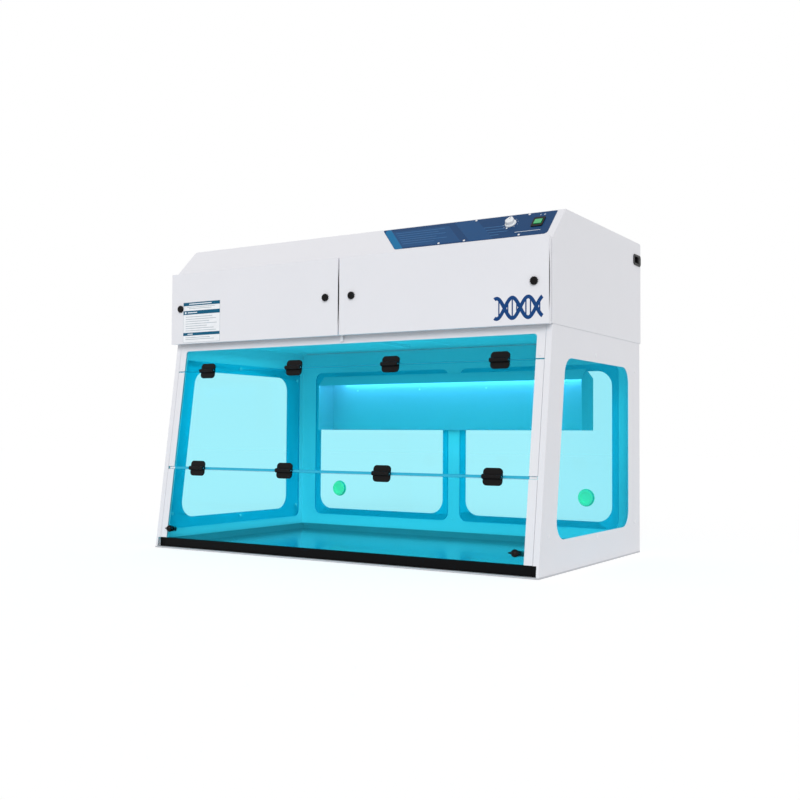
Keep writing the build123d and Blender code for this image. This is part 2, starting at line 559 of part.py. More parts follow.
filter_frame = block(FILTER_IN_X, FILTER_OUT_X, FILTER_FRONT_Y, FILTER_REAR_Y, seal_top, frame_top)
filter_core = block(clear_x0, clear_x1, clear_y0, clear_y1, seal_top, frame_top)
filter_frame -= filter_core
parts["filter_frames"] = group([filter_frame, mirrored(filter_frame)])
parts["filter_media"] = group([filter_core, mirrored(filter_core)])

# Fan deck with two plug fans: motor above on three arms, impeller below
FAN_DECK_DROP = 99.0
FAN_SHIFT_X = -3.0
FAN_SHIFT_Y = 21.0
FAN_INLET_R = 62.0
MOTOR_R = 48.0
MOTOR_GAP = 14.5
MOTOR_H = 52.0
MOTOR_ARM_W = 12.0
MOTOR_ARM_LAP = 20.0
MOTOR_ARM_T = 4.0
MOTOR_BORE_R = 5.0
SHAFT_DEPTH = 24.0
IMPELLER_R = 85.0
IMPELLER_H = 42.0
IMPELLER_DROP = 6.0
IMPELLER_DISC_T = 2.0
IMPELLER_HUB_R = 16.0
IMPELLER_EYE_LAP = 4.0
BLADE_COUNT = 8
BLADE_T = 2.0
BLADE_LEAN = 35.0
FAN_DECK_Z = HOOD_TOP_Z - FAN_DECK_DROP
FAN_X = (FILTER_IN_X + FILTER_OUT_X) / 2 + FAN_SHIFT_X
FAN_Y = (FILTER_FRONT_Y + FILTER_REAR_Y) / 2 + FAN_SHIFT_Y
MOTOR_LOW_Z = FAN_DECK_Z + SHEET + MOTOR_GAP
MOTOR_HIGH_Z = MOTOR_LOW_Z + MOTOR_H
MOTOR_ARM_REACH = FAN_INLET_R + MOTOR_ARM_LAP
fan_deck = block(-SIDE_X, SIDE_X, inner_front_y, inner_rear_y, FAN_DECK_Z, FAN_DECK_Z + SHEET)
for side in (-1, 1):
    fan_deck -= Pos(side * FAN_X, FAN_Y, FAN_DECK_Z + SHEET / 2) * Cylinder(FAN_INLET_R, 3 * SHEET)
parts["fan_deck"] = fan_deck
motor_low = FAN_DECK_Z + SHEET
motor = Pos(FAN_X, FAN_Y, (MOTOR_LOW_Z + MOTOR_HIGH_Z) / 2) * Cylinder(MOTOR_R, MOTOR_HIGH_Z - MOTOR_LOW_Z)
for index in range(3):
    arm = block(0, MOTOR_ARM_REACH, -MOTOR_ARM_W / 2, MOTOR_ARM_W / 2, MOTOR_LOW_Z, MOTOR_LOW_Z + MOTOR_ARM_T)
    arm += block(MOTOR_ARM_REACH - MOTOR_ARM_W, MOTOR_ARM_REACH, -MOTOR_ARM_W / 2, MOTOR_ARM_W / 2, motor_low, MOTOR_LOW_Z + MOTOR_ARM_T)
    motor += Pos(FAN_X, FAN_Y, 0) * Rot(0, 0, index * 120) * arm
shaft_top = MOTOR_LOW_Z + SHAFT_DEPTH
motor -= Pos(FAN_X, FAN_Y, (MOTOR_LOW_Z + shaft_top) / 2) * Cylinder(MOTOR_BORE_R + RUN_GAP, SHAFT_DEPTH)
parts["fan_motors"] = group([motor, mirrored(motor)])
IMPELLER_EYE_R = FAN_INLET_R - IMPELLER_EYE_LAP
impeller_top = FAN_DECK_Z - IMPELLER_DROP
impeller_low = impeller_top - IMPELLER_H
impeller = Pos(0, 0, impeller_low + IMPELLER_DISC_T / 2) * Cylinder(IMPELLER_R, IMPELLER_DISC_T)
shroud = Pos(0, 0, impeller_top - IMPELLER_DISC_T / 2) * Cylinder(IMPELLER_R, IMPELLER_DISC_T)
shroud -= Pos(0, 0, impeller_top - IMPELLER_DISC_T / 2) * Cylinder(IMPELLER_EYE_R, 2 * IMPELLER_DISC_T)
impeller += shroud
impeller += Pos(0, 0, (impeller_low + impeller_top) / 2) * Cylinder(IMPELLER_HUB_R, IMPELLER_H)
blade_l = (IMPELLER_R - IMPELLER_EYE_R) / math.cos(math.radians(BLADE_LEAN))
for index in range(BLADE_COUNT):
    blade = Pos((IMPELLER_R + IMPELLER_EYE_R) / 2 - BLADE_T, 0, (impeller_low + impeller_top) / 2) * Rot(0, 0, BLADE_LEAN)
    blade *= Box(blade_l - 2 * BLADE_T, BLADE_T, IMPELLER_H)
    impeller += Rot(0, 0, index * 360 / BLADE_COUNT) * blade
shaft_end = shaft_top - MOVE_GAP
impeller += Pos(0, 0, (impeller_top + shaft_end) / 2) * Cylinder(MOTOR_BORE_R, shaft_end - impeller_top)
parts["impeller_right"] = Pos(FAN_X, FAN_Y, 0) * impeller
parts["impeller_left"] = Pos(-FAN_X, FAN_Y, 0) * impeller

# Prefilter pads held under the intake slots
PREFILTER_T = 12.0
PREFILTER_MARGIN = 20.0
prefilter_top = HOOD_TOP_Z - SHEET
slot_field_end = SLOT_FIELD_X + (SLOT_COUNT - 1) * SLOT_PITCH + SLOT_W
prefilter = block(SLOT_FIELD_X - PREFILTER_MARGIN, slot_field_end + PREFILTER_MARGIN, SLOT_FRONT_Y - PREFILTER_MARGIN,
                  SLOT_FRONT_Y + SLOT_L + PREFILTER_MARGIN, prefilter_top - PREFILTER_T, prefilter_top)
parts["prefilters"] = group([prefilter, mirrored(prefilter)])

# Control panel on the slope: film, pointer knob, rocker switch and the box behind
PANEL_T = 0.6
PANEL_TOP_S = 3.0
PANEL_H = 96.0
PANEL_TOP_W = 512.0
PANEL_FOOT_W = 433.0
PANEL_END_GAP = 19.5
PANEL_TOP_RADIUS = 3.0
PANEL_FOOT_RADIUS = 10.0
KNOB_IN = 116.0
KNOB_S = 40.0
KNOB_R = 15.0
KNOB_BASE_T = 3.0
KNOB_GRIP_W = 8.0
KNOB_GRIP_H = 13.0
KNOB_GRIP_L = 29.0
KNOB_SHAFT_R = 3.0
KNOB_SHAFT_DEPTH = 9.0
ROCKER_IN = 39.0
ROCKER_S = 46.0
ROCKER_W = 20.0
ROCKER_H = 18.0
ROCKER_GAP = 1.0
ROCKER_PROUD = 3.6
ROCKER_DEPTH = 4.0
ROCKER_PIVOT_R = 1.5
BEZEL_W = 31.0
BEZEL_H = 38.0
BEZEL_T = 2.5
BEZEL_RADIUS = 4.0
BEZEL_WALL = 2.0
BEZEL_DEPTH = 12.0
BOX_W = 416.0
BOX_END_GAP = 4.0
BOX_S0 = 12.0
BOX_H = 83.0
BOX_DEPTH = 28.0
PANEL_X1 = HALF - PANEL_END_GAP
PANEL_TOP_X0 = PANEL_X1 - PANEL_TOP_W
PANEL_FOOT_X0 = PANEL_X1 - PANEL_FOOT_W
PANEL_FOOT_S = PANEL_TOP_S + PANEL_H
KNOB_X = PANEL_X1 - KNOB_IN
ROCKER_X = PANEL_X1 - ROCKER_IN
BOX_X1 = PANEL_X1 - BOX_END_GAP
BOX_X0 = BOX_X1 - BOX_W
BOX_S1 = BOX_S0 + BOX_H
panel_face = make_face(Polyline(
    (PANEL_TOP_X0, -PANEL_TOP_S), (PANEL_X1, -PANEL_TOP_S), (PANEL_X1, -PANEL_FOOT_S), (PANEL_FOOT_X0, -PANEL_FOOT_S), close=True))
panel_face = fillet(panel_face.vertices().sort_by(Axis.Y)[-2:], PANEL_TOP_RADIUS)
panel_face = fillet(panel_face.vertices().sort_by(Axis.Y)[:2], PANEL_FOOT_RADIUS)
panel = SLOPE_PLANE.location * extrude(panel_face, amount=PANEL_T, dir=(0, 0, 1))
rocker_room_w = ROCKER_W / 2 + ROCKER_GAP
rocker_room_h = ROCKER_H / 2 + ROCKER_GAP
body_w = rocker_room_w + BEZEL_WALL
body_h = rocker_room_h + BEZEL_WALL
control_box = on_slope(BOX_X0, BOX_X1, BOX_S0, BOX_S1, -SHEET - BOX_DEPTH, -SHEET)
shaft_hole = slope_rod(KNOB_SHAFT_R + MOVE_GAP, KNOB_X, KNOB_S, -SHEET, PANEL_T)
shaft_bore = slope_rod(KNOB_SHAFT_R + RUN_GAP, KNOB_X, KNOB_S, -SHEET - KNOB_SHAFT_DEPTH, -SHEET)
switch_body = on_slope(ROCKER_X - body_w, ROCKER_X + body_w, ROCKER_S - body_h, ROCKER_S + body_h, -BEZEL_DEPTH, PANEL_T)
hood -= shaft_hole + switch_body
panel -= shaft_hole + switch_body
parts["hood_shell"] = hood
parts["control_panel"] = panel
parts["control_box"] = control_box - shaft_bore - switch_body
bezel = on_slope(ROCKER_X - BEZEL_W / 2, ROCKER_X + BEZEL_W / 2, ROCKER_S - BEZEL_H / 2, ROCKER_S + BEZEL_H / 2, PANEL_T, PANEL_T + BEZEL_T)
bezel = fillet(bezel.edges().filter_by(GeomType.LINE).filter_by(lambda e: abs(e.length - BEZEL_T) < RUN_GAP), BEZEL_RADIUS)
bezel += switch_body
bezel -= on_slope(ROCKER_X - rocker_room_w, ROCKER_X + rocker_room_w, ROCKER_S - rocker_room_h, ROCKER_S + rocker_room_h,
                  -BEZEL_DEPTH + BEZEL_WALL, PANEL_T + BEZEL_T)
pivot_span = rocker_room_w + BEZEL_WALL / 2
pivot = SLOPE_PLANE.location * rod_x(ROCKER_PIVOT_R, -ROCKER_S, 0, ROCKER_X - pivot_span + RUN_GAP, ROCKER_X + pivot_span - RUN_GAP)
bezel -= SLOPE_PLANE.location * rod_x(ROCKER_PIVOT_R + RUN_GAP, -ROCKER_S, 0, ROCKER_X - pivot_span, ROCKER_X + pivot_span)
parts["rocker_bezel"] = bezel
rocker = on_slope(ROCKER_X - ROCKER_W / 2, ROCKER_X + ROCKER_W / 2, ROCKER_S - ROCKER_H / 2, ROCKER_S + ROCKER_H / 2,
                  -ROCKER_DEPTH, PANEL_T + ROCKER_PROUD)
parts["power_rocker"] = rocker + pivot
knob_low = PANEL_T + MOVE_GAP
knob = slope_rod(KNOB_R, KNOB_X, KNOB_S, knob_low, knob_low + KNOB_BASE_T)
knob += on_slope(KNOB_X - KNOB_GRIP_W / 2, KNOB_X + KNOB_GRIP_W / 2, KNOB_S - KNOB_GRIP_L / 2, KNOB_S + KNOB_GRIP_L / 2,
                 knob_low, knob_low + KNOB_GRIP_H)
knob += slope_rod(KNOB_SHAFT_R, KNOB_X, KNOB_S, -SHEET - KNOB_SHAFT_DEPTH + MOVE_GAP, knob_low)
parts["control_knob"] = knob

# Power inlet on the right side of the hood
INLET_REAR_GAP = 3.0
INLET_W = 58.0
INLET_DROP = 35.5
INLET_H = 31.0
INLET_T = 2.5
INLET_RADIUS = 9.0
INLET_BODY_MARGIN = 4.0
INLET_BODY_DEPTH = 26.0
SOCKET_EDGE = 7.0
SOCKET_W = 26.0
SOCKET_H = 18.0
SOCKET_DEPTH = 17.0
PIN_L = 9.0
PIN_W = 4.0
PIN_T = 2.0
FUSE_GAP = 6.0
FUSE_W = 14.0
FUSE_T = 1.0
INLET_Y1 = HOOD_REAR_Y - INLET_REAR_GAP
INLET_Y0 = INLET_Y1 - INLET_W
INLET_Z1 = HOOD_TOP_Z - INLET_DROP
INLET_Z0 = INLET_Z1 - INLET_H
SOCKET_Y0 = INLET_Y0 + SOCKET_EDGE
SOCKET_Y1 = SOCKET_Y0 + SOCKET_W
SOCKET_Z0 = (INLET_Z0 + INLET_Z1 - SOCKET_H) / 2
SOCKET_Z1 = SOCKET_Z0 + SOCKET_H
FUSE_Y0 = SOCKET_Y1 + FUSE_GAP
FUSE_Y1 = FUSE_Y0 + FUSE_W
inlet = block(HALF, HALF + INLET_T, INLET_Y0, INLET_Y1, INLET_Z0, INLET_Z1)
inlet = fillet(inlet.edges().filter_by(Axis.X), INLET_RADIUS)
inlet_body = block(SIDE_X - INLET_BODY_DEPTH, HALF, INLET_Y0 + INLET_BODY_MARGIN, INLET_Y1 - INLET_BODY_MARGIN,
                   INLET_Z0 + INLET_BODY_MARGIN, INLET_Z1 - INLET_BODY_MARGIN)
parts["hood_shell"] -= inlet_body
inlet += inlet_body
inlet_face = HALF + INLET_T
inlet -= block(inlet_face - SOCKET_DEPTH, inlet_face, SOCKET_Y0, SOCKET_Y1, SOCKET_Z0, SOCKET_Z1)
pin_foot = inlet_face - SOCKET_DEPTH
socket_y = (SOCKET_Y0 + SOCKET_Y1) / 2
socket_z = (SOCKET_Z0 + SOCKET_Z1) / 2
PIN_SPREAD = 7.0
PIN_RISE = 2.0
for dy, dz in ((-PIN_SPREAD, PIN_RISE), (0, -PIN_RISE), (PIN_SPREAD, PIN_RISE)):
    inlet += block(pin_foot, pin_foot + PIN_L, socket_y + dy - PIN_T / 2, socket_y + dy + PIN_T / 2,
                   socket_z + dz - PIN_W / 2, socket_z + dz + PIN_W / 2)
inlet += block(inlet_face, inlet_face + FUSE_T, FUSE_Y0, FUSE_Y1, SOCKET_Z0, SOCKET_Z1)
parts["power_inlet"] = inlet

# Covers over the access openings: a pan with a rear flange, a gasket behind it and two thumb knobs each.
# Each side return is relieved behind the face, where the face bows away from it.
COVER_STANDOFF = 5.0
COVER_DEPTH = 14.0
COVER_DROP = 2.5
COVER_RISE = 1.0
COVER_GAP = 5.0
COVER_FLANGE = 16.0
BOW_MARGIN = 14.0
BOW_DEPTH = 7.0
THUMB_IN_EDGE = 40.0
THUMB_OUT_EDGE = 37.5
THUMB_RISE = 103.5
THUMB_R = 10.2
THUMB_H = 6.0
THUMB_GROOVES = 12
THUMB_GROOVE_R = 1.4
THUMB_CHAMFER = 1.5
STUD_R = 3.0
GASKET_MARGIN = 6.0
GASKET_W = 10.0
COVER_FRONT_Y = HOOD_FRONT_Y - COVER_STANDOFF - COVER_DEPTH
COVER_LOW_Z = HOOD_BOTTOM_Z - COVER_DROP
COVER_HIGH_Z = SLOPE_FOOT_Z + COVER_RISE
THUMB_Z = COVER_LOW_Z + THUMB_RISE
cover_x0 = COVER_GAP / 2
KNOB_IN_X = cover_x0 + THUMB_IN_EDGE
KNOB_OUT_X = HALF - THUMB_OUT_EDGE
cover_rear_y = COVER_FRONT_Y + COVER_DEPTH
cover = block(cover_x0, HALF, COVER_FRONT_Y, cover_rear_y, COVER_LOW_Z, COVER_HIGH_Z)
cover -= block(cover_x0 + SHEET, HALF - SHEET, COVER_FRONT_Y + SHEET, cover_rear_y - SHEET, COVER_LOW_Z + SHEET, COVER_HIGH_Z - SHEET)
cover -= block(cover_x0 + COVER_FLANGE, HALF - COVER_FLANGE, COVER_FRONT_Y + SHEET, cover_rear_y,
               COVER_LOW_Z + COVER_FLANGE, COVER_HIGH_Z - COVER_FLANGE)
bow_y = COVER_FRONT_Y + SHEET
bow_low = COVER_LOW_Z + BOW_MARGIN
bow_high = COVER_HIGH_Z - BOW_MARGIN
bow_middle = (bow_y + BOW_DEPTH, (bow_low + bow_high) / 2)
bow = make_face(ThreePointArc((bow_y, bow_low), bow_middle, (bow_y, bow_high)) + Line((bow_y, bow_high), (bow_y, bow_low)))
for x in (cover_x0, HALF - SHEET):
    cover -= extrude(Plane.YZ.offset(x) * bow, amount=SHEET, dir=(1, 0, 0))
stud_end_y = HOOD_FRONT_Y + 2 * SHEET
for x in (KNOB_IN_X, KNOB_OUT_X):
    cover -= rod_y(STUD_R + MOVE_GAP, x, THUMB_Z, COVER_FRONT_Y, cover_rear_y)
    for side in (-1, 1):
        parts["hood_shell"] -= rod_y(STUD_R + SHANK_GAP, side * x, THUMB_Z, HOOD_FRONT_Y, inner_front_y)
parts["cover_right"] = cover
parts["cover_left"] = mirrored(cover)
gasket_rear_y = HOOD_FRONT_Y
gasket_front_y = cover_rear_y + MOVE_GAP
gx0 = cover_x0 + GASKET_MARGIN
gx1 = HALF - GASKET_MARGIN
gz0 = COVER_LOW_Z + GASKET_MARGIN
gz1 = SLOPE_FOOT_Z - GASKET_MARGIN
gasket = block(gx0, gx1, gasket_front_y, gasket_rear_y, gz0, gz1)
gasket -= block(gx0 + GASKET_W, gx1 - GASKET_W, gasket_front_y, gasket_rear_y, gz0 + GASKET_W, gz1 - GASKET_W)
parts["cover_gaskets"] = group([gasket, mirrored(gasket)])
thumb_rear_y = COVER_FRONT_Y - MOVE_GAP
thumb = rod_y(THUMB_R, 0, 0, thumb_rear_y - THUMB_H, thumb_rear_y)
thumb = chamfer(thumb.edges().group_by(Axis.Y)[0], THUMB_CHAMFER)
for index in range(THUMB_GROOVES):
    angle = math.radians(index * 360 / THUMB_GROOVES)
    thumb -= rod_y(THUMB_GROOVE_R, THUMB_R * math.cos(angle), THUMB_R * math.sin(angle), thumb_rear_y - THUMB_H, thumb_rear_y)
thumb += rod_y(STUD_R, 0, 0, thumb_rear_y, stud_end_y)
thumbs = {"left_outer": -KNOB_OUT_X, "left_inner": -KNOB_IN_X, "right_inner": KNOB_IN_X, "right_outer": KNOB_OUT_X}
for name, x in thumbs.items():
    parts["thumb_knob_" + name] = Pos(x, 0, THUMB_Z) * thumb
TAB_X0 = -5.0
TAB_X1 = 3.0
TAB_DROP = 18.0
TAB_LAP = 16.0
TAB_LOW_Z = HOOD_BOTTOM_Z - TAB_DROP
TAB_HIGH_Z = HOOD_BOTTOM_Z + TAB_LAP
parts["cover_tab"] = block(TAB_X0, TAB_X1, HOOD_FRONT_Y - SHEET, HOOD_FRONT_Y, TAB_LOW_Z, TAB_HIGH_Z)

# Lamp unit on the back wall: folded housing, tube and two holders
LAMP_END_GAP = 136.5
LAMP_PEAK_DROP = 85.0
LAMP_BACK_H = 153.5
LAMP_BACK_DROP = 25.0
LAMP_DEPTH = 88.0
LAMP_SHADE_RUN = 33.0
LAMP_SHADE_DROP = 31.0
LAMP_HEM = 10.0
TUBE_R = 8.0
TUBE_IN = 35.0
TUBE_RISE = 11.0
TUBE_CAP_L = 2.5
HOLDER_L = 18.5
TUBE_PIN_R = 1.2
TUBE_PIN_L = 6.0
TUBE_PIN_SPREAD = 2.5
HOLDER_W = 18.0
HOLDER_H = 16.0
lamp_wall_y = BACK_PANE_Y
LAMP_HALF = WALL_IN_X - LAMP_END_GAP
LAMP_PEAK_Z = BASE_HEIGHT - LAMP_PEAK_DROP
LAMP_BACK_TOP_Z = LAMP_PEAK_Z - LAMP_BACK_DROP
LAMP_LOW_Z = LAMP_BACK_TOP_Z - LAMP_BACK_H
LAMP_FRONT_Y = lamp_wall_y - LAMP_DEPTH
LAMP_PEAK_Y = LAMP_FRONT_Y + LAMP_SHADE_RUN
LAMP_SHOULDER_Z = LAMP_PEAK_Z - LAMP_SHADE_DROP
TUBE_Y = LAMP_FRONT_Y + TUBE_IN
TUBE_Z = LAMP_SHOULDER_Z + TUBE_RISE
TUBE_HALF = LAMP_HALF - SHEET - HOLDER_L - TUBE_CAP_L
lamp_outline = [
    (lamp_wall_y, LAMP_LOW_Z),
    (lamp_wall_y, LAMP_BACK_TOP_Z),
    (LAMP_PEAK_Y, LAMP_PEAK_Z),
    (LAMP_FRONT_Y, LAMP_SHOULDER_Z),
    (LAMP_FRONT_Y, LAMP_LOW_Z),
]
lamp_face = make_face(Polyline(*lamp_outline, close=True))
lamp_inner = offset(lamp_face, amount=-SHEET, kind=Kind.INTERSECTION)
lamp = extrude(Plane.YZ.offset(-LAMP_HALF) * lamp_face, amount=2 * LAMP_HALF, dir=(1, 0, 0))
lamp -= extrude(Plane.YZ.offset(-LAMP_HALF + SHEET) * lamp_inner, amount=2 * (LAMP_HALF - SHEET), dir=(1, 0, 0))
lamp_room = LAMP_HALF - SHEET
lamp -= block(-lamp_room, lamp_room, LAMP_FRONT_Y, lamp_wall_y - LAMP_HEM, LAMP_LOW_Z, LAMP_SHOULDER_Z)
parts["lamp_housing"] = lamp
tube = rod_x(TUBE_R, TUBE_Y, TUBE_Z, -TUBE_HALF, TUBE_HALF)
holder = block(TUBE_HALF + TUBE_CAP_L, lamp_room, TUBE_Y - HOLDER_W / 2, TUBE_Y + HOLDER_W / 2, TUBE_Z - HOLDER_H / 2, TUBE_Z + HOLDER_H / 2)
for side in (-1, 1):
    cap_x = sorted((side * TUBE_HALF, side * (TUBE_HALF + TUBE_CAP_L)))
    tube += rod_x(TUBE_R - SHEET, TUBE_Y, TUBE_Z, cap_x[0], cap_x[1])
    pin_x = sorted((side * (TUBE_HALF + TUBE_CAP_L), side * (TUBE_HALF + TUBE_CAP_L + TUBE_PIN_L)))
    for dz in (-TUBE_PIN_SPREAD, TUBE_PIN_SPREAD):
        lamp_pin = rod_x(TUBE_PIN_R, TUBE_Y, TUBE_Z + dz, pin_x[0], pin_x[1])
        tube += lamp_pin
        holder -= lamp_pin
parts["lamp_tube"] = tube
parts["lamp_holders"] = group([holder, mirrored(holder)])

# Small button screws: on the top strips, round the control panel, on the lamp and on the back wall
BUTTON_R = 3.0
BUTTON_T = 1.5
STRIP_SCREW_UP = 9.5
PANEL_SCREW_MARGIN = 5.5
PANEL_SCREWS_TOP_IN = (224.0, 74.0)
PANEL_SCREWS_FOOT_IN = (302.0, 228.0, 76.0)
LAMP_SCREWS_X = (-369.0, -126.0, 117.0)
LAMP_SCREW_DROP = 21.0
MULLION_SCREW_X = -10.0
MULLION_SCREW_DROP = 15.0
STRIP_SCREW_X = strip_in_x + STRIP_W / 2
STRIP_SCREW_Z = UPPER_LINE_Z + STRIP_SCREW_UP
PANEL_SCREW_TOP_S = PANEL_TOP_S + PANEL_SCREW_MARGIN
PANEL_SCREW_FOOT_S = PANEL_FOOT_S - PANEL_SCREW_MARGIN
MULLION_SCREW_Z = WINDOW_BOTTOM_Z - MULLION_SCREW_DROP
LAMP_SCREW_Z = LAMP_BACK_TOP_Z - LAMP_SCREW_DROP
screws = [sash_rod(BUTTON_R, side * STRIP_SCREW_X, up(STRIP_SCREW_Z), 0, BUTTON_T) for side in (-1, 1)]
screws += [slope_rod(BUTTON_R, PANEL_X1 - x, PANEL_SCREW_TOP_S, PANEL_T, PANEL_T + BUTTON_T) for x in PANEL_SCREWS_TOP_IN]
screws += [slope_rod(BUTTON_R, PANEL_X1 - x, PANEL_SCREW_FOOT_S, PANEL_T, PANEL_T + BUTTON_T) for x in PANEL_SCREWS_FOOT_IN]
lamp_screw_y = lamp_wall_y - SHEET
screws += [rod_y(BUTTON_R, x, LAMP_SCREW_Z, lamp_screw_y - BUTTON_T, lamp_screw_y) for x in LAMP_SCREWS_X]
screws.append(rod_y(BUTTON_R, MULLION_SCREW_X, MULLION_SCREW_Z, BACK_FRONT_Y - BUTTON_T, BACK_FRONT_Y))
parts["small_screws"] = group(screws)

os.makedirs("parts", exist_ok=True)
for name, shape in parts.items():
    export_step(shape, "parts/" + name + ".step")
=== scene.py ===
import json
import math

import bmesh
import bpy
from mathutils import Matrix, Vector


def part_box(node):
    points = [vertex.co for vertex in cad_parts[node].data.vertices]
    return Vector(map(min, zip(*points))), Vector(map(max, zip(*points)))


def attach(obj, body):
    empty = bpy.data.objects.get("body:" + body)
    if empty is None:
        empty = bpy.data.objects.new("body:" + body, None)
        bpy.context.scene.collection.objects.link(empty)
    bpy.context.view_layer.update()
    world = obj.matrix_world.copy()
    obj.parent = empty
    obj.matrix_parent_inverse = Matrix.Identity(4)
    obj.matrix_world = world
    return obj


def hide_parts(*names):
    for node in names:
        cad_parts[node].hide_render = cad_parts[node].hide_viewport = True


bl_info = {
    "name": "PCR bench cabinet",
    "version": (1, 0, 0),
    "blender": (4, 5, 0),
    "location": "View3D > Sidebar > Cabinet",
    "description": "Dresses the packed cabinet with its finishes, printed films, screws and studio",
    "category": "Object",
}

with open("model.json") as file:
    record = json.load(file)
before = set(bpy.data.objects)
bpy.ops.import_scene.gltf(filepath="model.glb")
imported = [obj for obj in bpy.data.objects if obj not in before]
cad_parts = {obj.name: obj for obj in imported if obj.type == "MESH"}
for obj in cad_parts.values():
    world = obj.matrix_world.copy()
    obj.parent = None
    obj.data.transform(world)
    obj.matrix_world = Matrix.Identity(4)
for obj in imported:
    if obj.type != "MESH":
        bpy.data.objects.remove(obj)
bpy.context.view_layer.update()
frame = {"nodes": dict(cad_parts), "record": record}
NODE_BODY = {node: body for body, nodes in frame["record"]["behaviour"]["bodies"].items() for node in nodes}
MM = 0.001
# What one face of a pane lets through: of a view, and of the light that falls in
PANE_SEEN = (0.791, 0.978, 1.0)
PANE_LIT = (0.22, 0.87, 0.95)
# Nodes whose finish is a variant of their slot's
OWN_FINISH = {
    "side_window_left": "side_pane",
    "side_window_right": "side_pane",
    "back_windows": "back_pane",
    "lamp_housing": "lamp_steel",
}


def linear(code):
    """sRGB hex code to linear red, green and blue."""
    values = [int(code[i:i + 2], 16) / 255 for i in (0, 2, 4)]
    return tuple(v / 12.92 if v <= 0.04045 else ((v + 0.055) / 1.055) ** 2.4 for v in values)


# The three leaning or sloped planes that pieces are laid out on, in metres
SASH_LEAN = math.radians(7.7)
SASH_FOOT = Vector((0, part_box("base_plate")[0].y, 0))
SASH_OUT = Vector((0, -math.cos(SASH_LEAN), math.sin(SASH_LEAN)))
SASH_UP = Vector((0, math.sin(SASH_LEAN), math.cos(SASH_LEAN)))
SLOPE_HEAD = Vector((0, -0.194, 0.889))
SLOPE_FOOT = Vector((0, -0.276, 0.805))
SLOPE_UP = (SLOPE_HEAD - SLOPE_FOOT).normalized()
SLOPE_OUT = Vector((0, -SLOPE_UP.z, SLOPE_UP.y))
COVER_FACE_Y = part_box("cover_right")[0].y
WALL_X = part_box("side_panel_right")[1].x


def plane_matrix(origin, across, up):
    """Matrix that takes a layout plane's own axes (across, up, out) to the frame."""
    out = across.cross(up)
    return Matrix((
        (across.x, up.x, out.x, origin.x),
        (across.y, up.y, out.y, origin.y),
        (across.z, up.z, out.z, origin.z),
        (0, 0, 0, 1),
    ))


SASH = plane_matrix(SASH_FOOT, Vector((1, 0, 0)), SASH_UP)
SLOPE = plane_matrix(SLOPE_HEAD, Vector((1, 0, 0)), SLOPE_UP)
COVER = plane_matrix(Vector((0, COVER_FACE_Y, 0)), Vector((1, 0, 0)), Vector((0, 0, 1)))
RIGHT_WALL = plane_matrix(Vector((WALL_X, 0, 0)), Vector((0, 1, 0)), Vector((0, 0, 1)))
LEFT_WALL = plane_matrix(Vector((-WALL_X, 0, 0)), Vector((0, -1, 0)), Vector((0, 0, 1)))


# Rays that look at the studio, rather than carry its light
SEEING_RAYS = ("Is Camera Ray", "Is Glossy Ray", "Is Transmission Ray")
# Studio: paint of the floor for the light it throws back and as it is seen, with a glow that makes it white
FLOOR_BOUNCE = 0.9
FLOOR_SEEN = 0.35
FLOOR_GLOW = 0.74
WORLD_LIGHT = 0.55
KEY_ENERGY = 1.48
KEY_ANGLE = math.radians(30)
KEY_WAY = Vector((-0.480, 0.768, -0.423))
CHAMBER_GLOW = (0.06, 0.8, 0.9)
CHAMBER_LIGHT_SIZE = (1.1, 0.42)


class CabinetColours(bpy.types.PropertyGroup):
    white_coat: bpy.props.FloatVectorProperty(
        name="White coat", description="Powder coat of the panels", subtype="COLOR", default=linear("E7E7EC"))
    print_blue: bpy.props.FloatVectorProperty(
        name="Film blue", description="Printed blue of the control film", subtype="COLOR",
        default=linear("17406C"))
    accent_blue: bpy.props.FloatVectorProperty(
        name="Accent blue", description="Light blue strip of the control film", subtype="COLOR",
        default=linear("0A6C9E"))
    label_teal: bpy.props.FloatVectorProperty(
        name="Label teal", description="Dark bars of the cover label", subtype="COLOR",
        default=linear("075878"))
    symbol_blue: bpy.props.FloatVectorProperty(
        name="Symbol blue", description="Printed symbol on the right cover", subtype="COLOR",
        default=linear("0F3F78"))
    hinge_black: bpy.props.FloatVectorProperty(
        name="Hinge black", description="Moulded hinges and knobs", subtype="COLOR", default=linear("0C0A0B"))
    port_green: bpy.props.FloatVectorProperty(
        name="Port green", description="Port plugs in the back windows", subtype="COLOR",
        default=linear("7AE69C"))
    lamp_glow: bpy.props.FloatVectorProperty(
        name="Lamp glow", description="Light of the lamp tube", subtype="COLOR", default=linear("74D6FF"))


class CabinetSizes(bpy.types.PropertyGroup):
    edge_round: bpy.props.FloatProperty(
        name="Edge round", description="Rounding of folded and coated edges", unit="LENGTH", default=0.0006)
    hinge_round: bpy.props.FloatProperty(
        name="Hinge round", description="Rounding of the moulded hinges", unit="LENGTH", default=0.0012)
    lamp_power: bpy.props.FloatProperty(
        name="Lamp power", description="Power of the light from the lamp unit", default=2.1)
    fill_power: bpy.props.FloatProperty(
        name="Fill power", description="Power of the light thrown back up by the work surface",
        default=1.5)


def colours():
    return bpy.context.scene.cabinet_colours


def sizes():
    return bpy.context.scene.cabinet_sizes


def add(tree, kind, settings=None, inputs=None):
    """Adds a node, sets its settings, and sets or links its inputs."""
    node = tree.nodes.new(kind)
    for name, value in (settings or {}).items():
        setattr(node, name, value)
    for name, value in (inputs or {}).items():
        socket = node.inputs[name]
        if isinstance(value, bpy.types.NodeSocket):
            tree.links.new(value, socket)
        else:
            socket.default_value = value
    return node


def new_material(name):
    """Empty material and its node tree with an output."""
    material = bpy.data.materials.new(name)
    material.use_nodes = True
    tree = material.node_tree
    tree.nodes.clear()
    output = tree.nodes.new("ShaderNodeOutputMaterial")
    return material, tree, output


